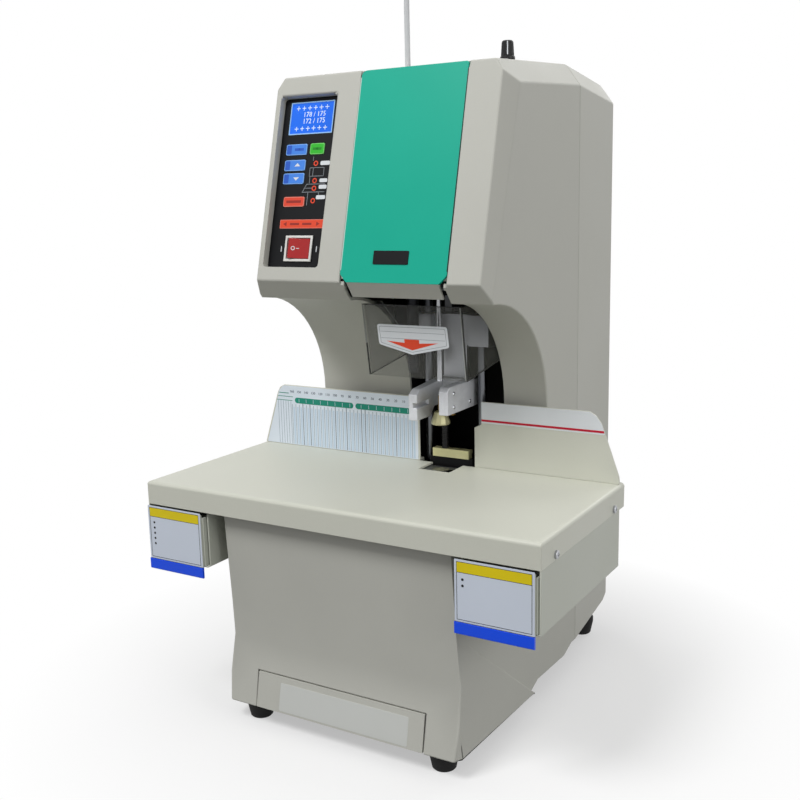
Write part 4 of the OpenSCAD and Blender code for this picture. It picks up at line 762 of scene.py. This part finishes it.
def switch():
    """White marks on the red rocker: a bar on one half and a ring on the other."""
    centre_x, centre_s, depth, tilt = -83.0, 173.0, -17.0, math.radians(8.0)

    def on_rocker(u, v, out):
        # the dished face of the rocker, two flats that meet at its middle
        rise = 10.2 + abs(u) * 1.8 / 12.0 + out
        return on_face(centre_x + u * math.cos(tilt) + rise * math.sin(tilt), centre_s + v,
                       depth + rise * math.cos(tilt) - u * math.sin(tilt))

    plates("rocker_bar", stroke([(-3.0, 0.0), (-0.6, 0.0)], 0.7), on_rocker, -0.1, 0.15, print_white, "power_rocker",
           "bezel_white")
    frames("rocker_ring", [(disc(-6.8, 0.0, 2.1, 20), disc(-6.8, 0.0, 1.35, 20))], on_rocker, -0.1, 0.15, print_white,
           "power_rocker", "bezel_white")
    softened("power_rocker", "rocker_cap", rocker_red, "power_rocker", "rocker_red", 0.5, None, least=1.5, angle=25,
             segments=2)
    softened("switch_bezel", "switch_frame", white_plastic, *IN_WHITE, 0.6, None, least=3.0, angle=40,
             segments=2)


def clear_guard():
    """The cut edges of the clear guard, dark or light by how they catch the light, and a plain white plate with an
    arrow that points at the work."""
    left, right = COVER_MID - 55.0, COVER_MID + 55.0
    dark = [((left, -71.4, 350.5), (left, -76.4, 383.0), 1.1),
            ((right + 0.2, -71.4, 350.5), (right + 0.2, -82.0, 422.0), 1.0),
            ((left, -82.6, 422.5), (right, -82.6, 422.5), 0.8)]
    light = [((left, -76.4, 383.0), (left, -82.0, 422.0), 0.8),
             ((right - 0.9, -72.0, 351.0), (right - 0.9, -82.6, 422.0), 0.8)]
    for x, low_edge, back_edge in ((left, 0.8, 0.9), (right, 0.9, 0.8)):
        dark += [((x, -71.0, 350.6), (x, 1.0, 361.3), low_edge), ((x, 1.2, 361.4), (x, 1.2, 380.6), 0.8)]
        light.append(((x, -47.8, 422.4), (x, 1.2, 381.2), back_edge))
    rails("guard_dark_edges", dark, guard_edge, *ON_GUARD)
    rails("guard_light_edges", light, guard_edge_light, *ON_GUARD)
    label = cornered([(-6.6, 382.7), (30.5, 373.7), (72.0, 382.7), (71.4, 403.2), (-7.2, 403.2)],
                     [2.5, 3, 2.5, 2.5, 2.5])
    plates("guard_label", [label], on_guard, 0.0, 0.35, print_white, *IN_WHITE, 0.12)
    rim_out = cornered([(-4.4, 384.4), (30.5, 376.0), (69.8, 384.4), (69.3, 401.2), (-5.0, 401.2)],
                       [1.5, 2, 1.5, 1.5, 1.5])
    rim_in = cornered([(-4.0, 384.7), (30.5, 376.4), (69.4, 384.7), (68.9, 400.8), (-4.6, 400.8)],
                      [1.3, 1.8, 1.3, 1.3, 1.3])
    frames("guard_label_rim", [(rim_out, rim_in)], on_guard, 0.3, 0.42, print_grey, *IN_WHITE)
    rules = stroke([(-3.5, 396.0), (68.0, 396.0)], 0.35) + stroke([(-3.5, 389.4), (68.0, 389.4)], 0.35)
    plates("guard_label_rules", rules, on_guard, 0.3, 0.42, print_grey, *IN_WHITE)
    pointer = [(2.5, 386.6), (30.8, 378.2), (60.5, 386.6), (39.4, 385.4), (39.4, 389.0), (22.8, 389.0), (22.8, 385.4)]
    plates("guard_label_arrow", [pointer], on_guard, 0.3, 0.45, print_red, *IN_WHITE)


def press_parts():
    softened("press_foot", "foot_casting", foot_casting, "press_foot", "cast_foot", 1.0, None, least=2.5, angle=25,
             segments=2)
    # the nozzle: a wide twelve-sided mouth that narrows upwards, with its bore
    profile = [(9.2, 0.0), (10.0, 0.7), (10.0, 2.6), (6.9, 12.6), (6.4, 13.4), (5.6, 13.4), (5.6, 3.0), (6.5, 0.0)]
    bm = bmesh.new()
    skin(bm, [[bm.verts.new(plain(x, y, NOZZLE_MOUTH + z)) for x, y in disc(*HOLE, r, 12)] for r, z in profile],
         closed=True)
    piece("nozzle", bm, nozzle_zinc, "press_foot", ("press_nozzle",), 20)
    plates("nozzle_holder", [box(21.5, -9.3, 39.5, -5)], plain, 301, 321, guide_brass, "press_foot", "yellow_zinc", 0.6)
    # painted shade: a dark blackened bar laid in the foot's slot, standing for the shade inside the slot
    rails("foot_slot_shade_bar", [((6.5, -40.6, 314.5), (6.5, -15.4, 314.5), 4.6)], steel_blackened, "press_foot",
          "machined_steel")
    grown("foot_screws", screw_heads(steel_polished), {"Head Radius": 2.2, "Head Height": 1.4, "Recess Length": 2.2,
          "Recess Width": 0.6}, lambda x, y, z: plain(50.0 + z, x, y), steel_polished, "press_foot",
          "machined_steel", ((-28.0, 314.0, 0.0), (-28.0, 328.0, 0.0), (8.0, 314.0, 0.0)))


def knob():
    """The speed knob on the roof: ribbed, with a white pointer line."""
    profile = [(3.0, -14.0), (3.0, 0.8), (7.0, 0.8), (7.2, 1.4), (7.0, 3.4), (6.6, 3.8), (6.3, 4.2), (5.6, 16.2),
               (5.2, 17.4), (4.2, 18.2), (2.0, 18.5), (0.4, 18.55)]
    lathe("knob_grip", profile, KNOB_FOOT, black_moulding, "roof_knob", 144, ("roof_knob",),
          18, 0.55, (4.0, 17.0))
    ahead, beside = Vector((0.42, -0.91, 0.0)).normalized(), Vector((0.91, 0.42, 0.0)).normalized()
    pointer = [Vector(KNOB_FOOT) + Vector((0, 0, v)) + beside * u + ahead * reach
               for u, v, reach in ((-0.5, 5, 6.4), (0.5, 5, 6.4), (0.5, 17.3, 5.5), (-0.5, 17.3, 5.5))]
    bm = bmesh.new()
    front, back = ([bm.verts.new((p - ahead * depth) * MM) for p in pointer] for depth in (0.0, 1.2))
    bm.faces.new(front)
    bm.faces.new(back[::-1])
    skin(bm, [front, back])
    piece("knob_pointer", bm, print_white, "roof_knob")


def small_metal():
    heads = screw_heads(steel_milled)
    size = {"Head Radius": 3.6, "Head Height": 1.1, "Recess Length": 4.0, "Recess Width": 0.9}
    for side, word in ((1, "right"), (-1, "left")):
        grown("skirt_screw_heads_" + word, heads, size, lambda u, v, z, side=side: plain(side * (SKIRT + z), u, v),
              steel_milled, *ON_STEEL, ((-165.0, 226.6, 0.0), (-20.0, 226.6, 0.0)))
    back = [(x, z, 0.0) for x in (-119.0, 119.0) for z in (120.0, 400.0, 590.0)]
    grown("back_screw_heads", heads, size, lambda u, v, z: plain(u, BACK + z, v), steel_milled, *ON_STEEL, back)
    blades = bar_row(brass)
    grown("inlet_blades", blades, {"Count": 3, "Pitch": 7.0, "Width": 1.6, "Height": 4.5, "Depth": 12.0},
          lambda u, v, z: plain(-97.0 + u, 193.0 + z, 80.0 + v), brass, *ON_STEEL)


# ---- studio ----------------------------------------------------------------------------------------

def seen_rays(tree):
    """One for a ray from the camera, or one that metal or glass sends on, and nothing for light on the object."""
    rays = tree.nodes.new("ShaderNodeLightPath").outputs
    value = rays["Is Camera Ray"]
    for kind in ("Is Glossy Ray", "Is Transmission Ray"):
        value = add(tree, "ShaderNodeMath", {0: value, 1: rays[kind]}, operation="MAXIMUM")
    return value


def studio_floor():
    """A floor that takes the machine's shadow nearby and fades to white farther off."""
    reach = 6.0
    floor_mesh = bpy.data.meshes.new("studio_floor")
    floor_mesh.from_pydata([(x, y, 0) for x, y in box(-reach, -reach, reach, reach)], [], [(0, 1, 2, 3)])
    floor = bpy.data.objects.new("studio_floor", floor_mesh)
    bpy.context.scene.collection.objects.link(floor)
    paper = bpy.data.materials.new("pale_floor")
    paper.use_nodes = True
    tree = paper.node_tree
    tree.nodes.remove(tree.nodes["Principled BSDF"])
    pale, dim = (add(tree, "ShaderNodeBsdfDiffuse", {"Color": (grey, grey, grey, 1)}) for grey in (0.9, 0.2))
    white = add(tree, "ShaderNodeEmission", {"Color": WHITE})
    place = add(tree, "ShaderNodeTexCoord", output="Object")
    far = add(tree, "ShaderNodeVectorMath", {0: place}, "Value", operation="LENGTH")
    fade = add(tree, "ShaderNodeMapRange", {"Value": far, "From Min": FADE_START, "From Max": FADE_END,
                                            "To Min": NEAR_WHITE, "To Max": 1.0})
    lit = add(tree, "ShaderNodeMixShader", {"Fac": fade, 1: pale, 2: white})
    mix = add(tree, "ShaderNodeMixShader", {"Fac": seen_rays(tree), 1: dim, 2: lit})
    tree.links.new(mix, tree.nodes["Material Output"].inputs["Surface"])
    floor_mesh.materials.append(paper)


def studio():
    """The floor, the room's even light and three lamps."""
    studio_floor()
    world = bpy.data.worlds.new("studio")
    bpy.context.scene.world = world
    world.use_nodes = True
    tree = world.node_tree
    tree.nodes.clear()
    soft, clean = (add(tree, "ShaderNodeBackground", {"Color": WHITE, "Strength": power})
                   for power in (ROOM_LIGHT, 1.0))
    mix = add(tree, "ShaderNodeMixShader", {"Fac": seen_rays(tree), 1: soft, 2: clean})
    tree.links.new(mix, tree.nodes.new("ShaderNodeOutputWorld").inputs["Surface"])

    for name, at, target, watts, size in (
            ("key_light", (-0.58, -1.74, 2.58), (0, 0, 0.35), 52.0, 1.0),
            ("fill_light", (2.23, -0.48, 1.07), (0, 0, 0.35), 14.0, 1.2),
            ("back_light", (0.6, 2.2, 1.8), (0, 0.1, 0.4), 15.0, 1.4)):
        lamp = bpy.data.lights.new(name, "AREA")
        lamp.energy = watts
        lamp.size = size
        item = bpy.data.objects.new(name, lamp)
        bpy.context.scene.collection.objects.link(item)
        item.location = at
        item.rotation_euler = (Vector(target) - Vector(at)).to_track_quat("-Z", "Y").to_euler()


def camera():
    """The photograph's viewpoint."""
    yaw, pitch, roll = 0.5417, 0.1911, -0.0231
    forward = Vector((-math.sin(yaw) * math.cos(pitch), math.cos(yaw) * math.cos(pitch), -math.sin(pitch)))
    level = Vector((math.cos(yaw), math.sin(yaw), 0.0))
    above = level.cross(forward)
    right = level * math.cos(roll) + above * math.sin(roll)
    up = above * math.cos(roll) - level * math.sin(roll)
    lens = bpy.data.cameras.new("view")
    lens.lens = 46.75
    lens.sensor_width = 36.0
    lens.clip_start = 0.01
    eye = bpy.data.objects.new("view", lens)
    bpy.context.scene.collection.objects.link(eye)
    eye.matrix_world = Matrix.Translation(plain(539.2, -947.1, 524.0)) @ Matrix(
        (right, up, -forward)).transposed().to_4x4()
    bpy.context.scene.camera = eye


camera()
dress_solids()
casings()
table_and_fence()
ruler()
limit_strip()
drawers()
green_cover()
keypad()
display()
panel_print()
switch()
clear_guard()
press_parts()
knob()
small_metal()
studio()

scene = bpy.context.scene
scene.view_settings.view_transform = "Standard"
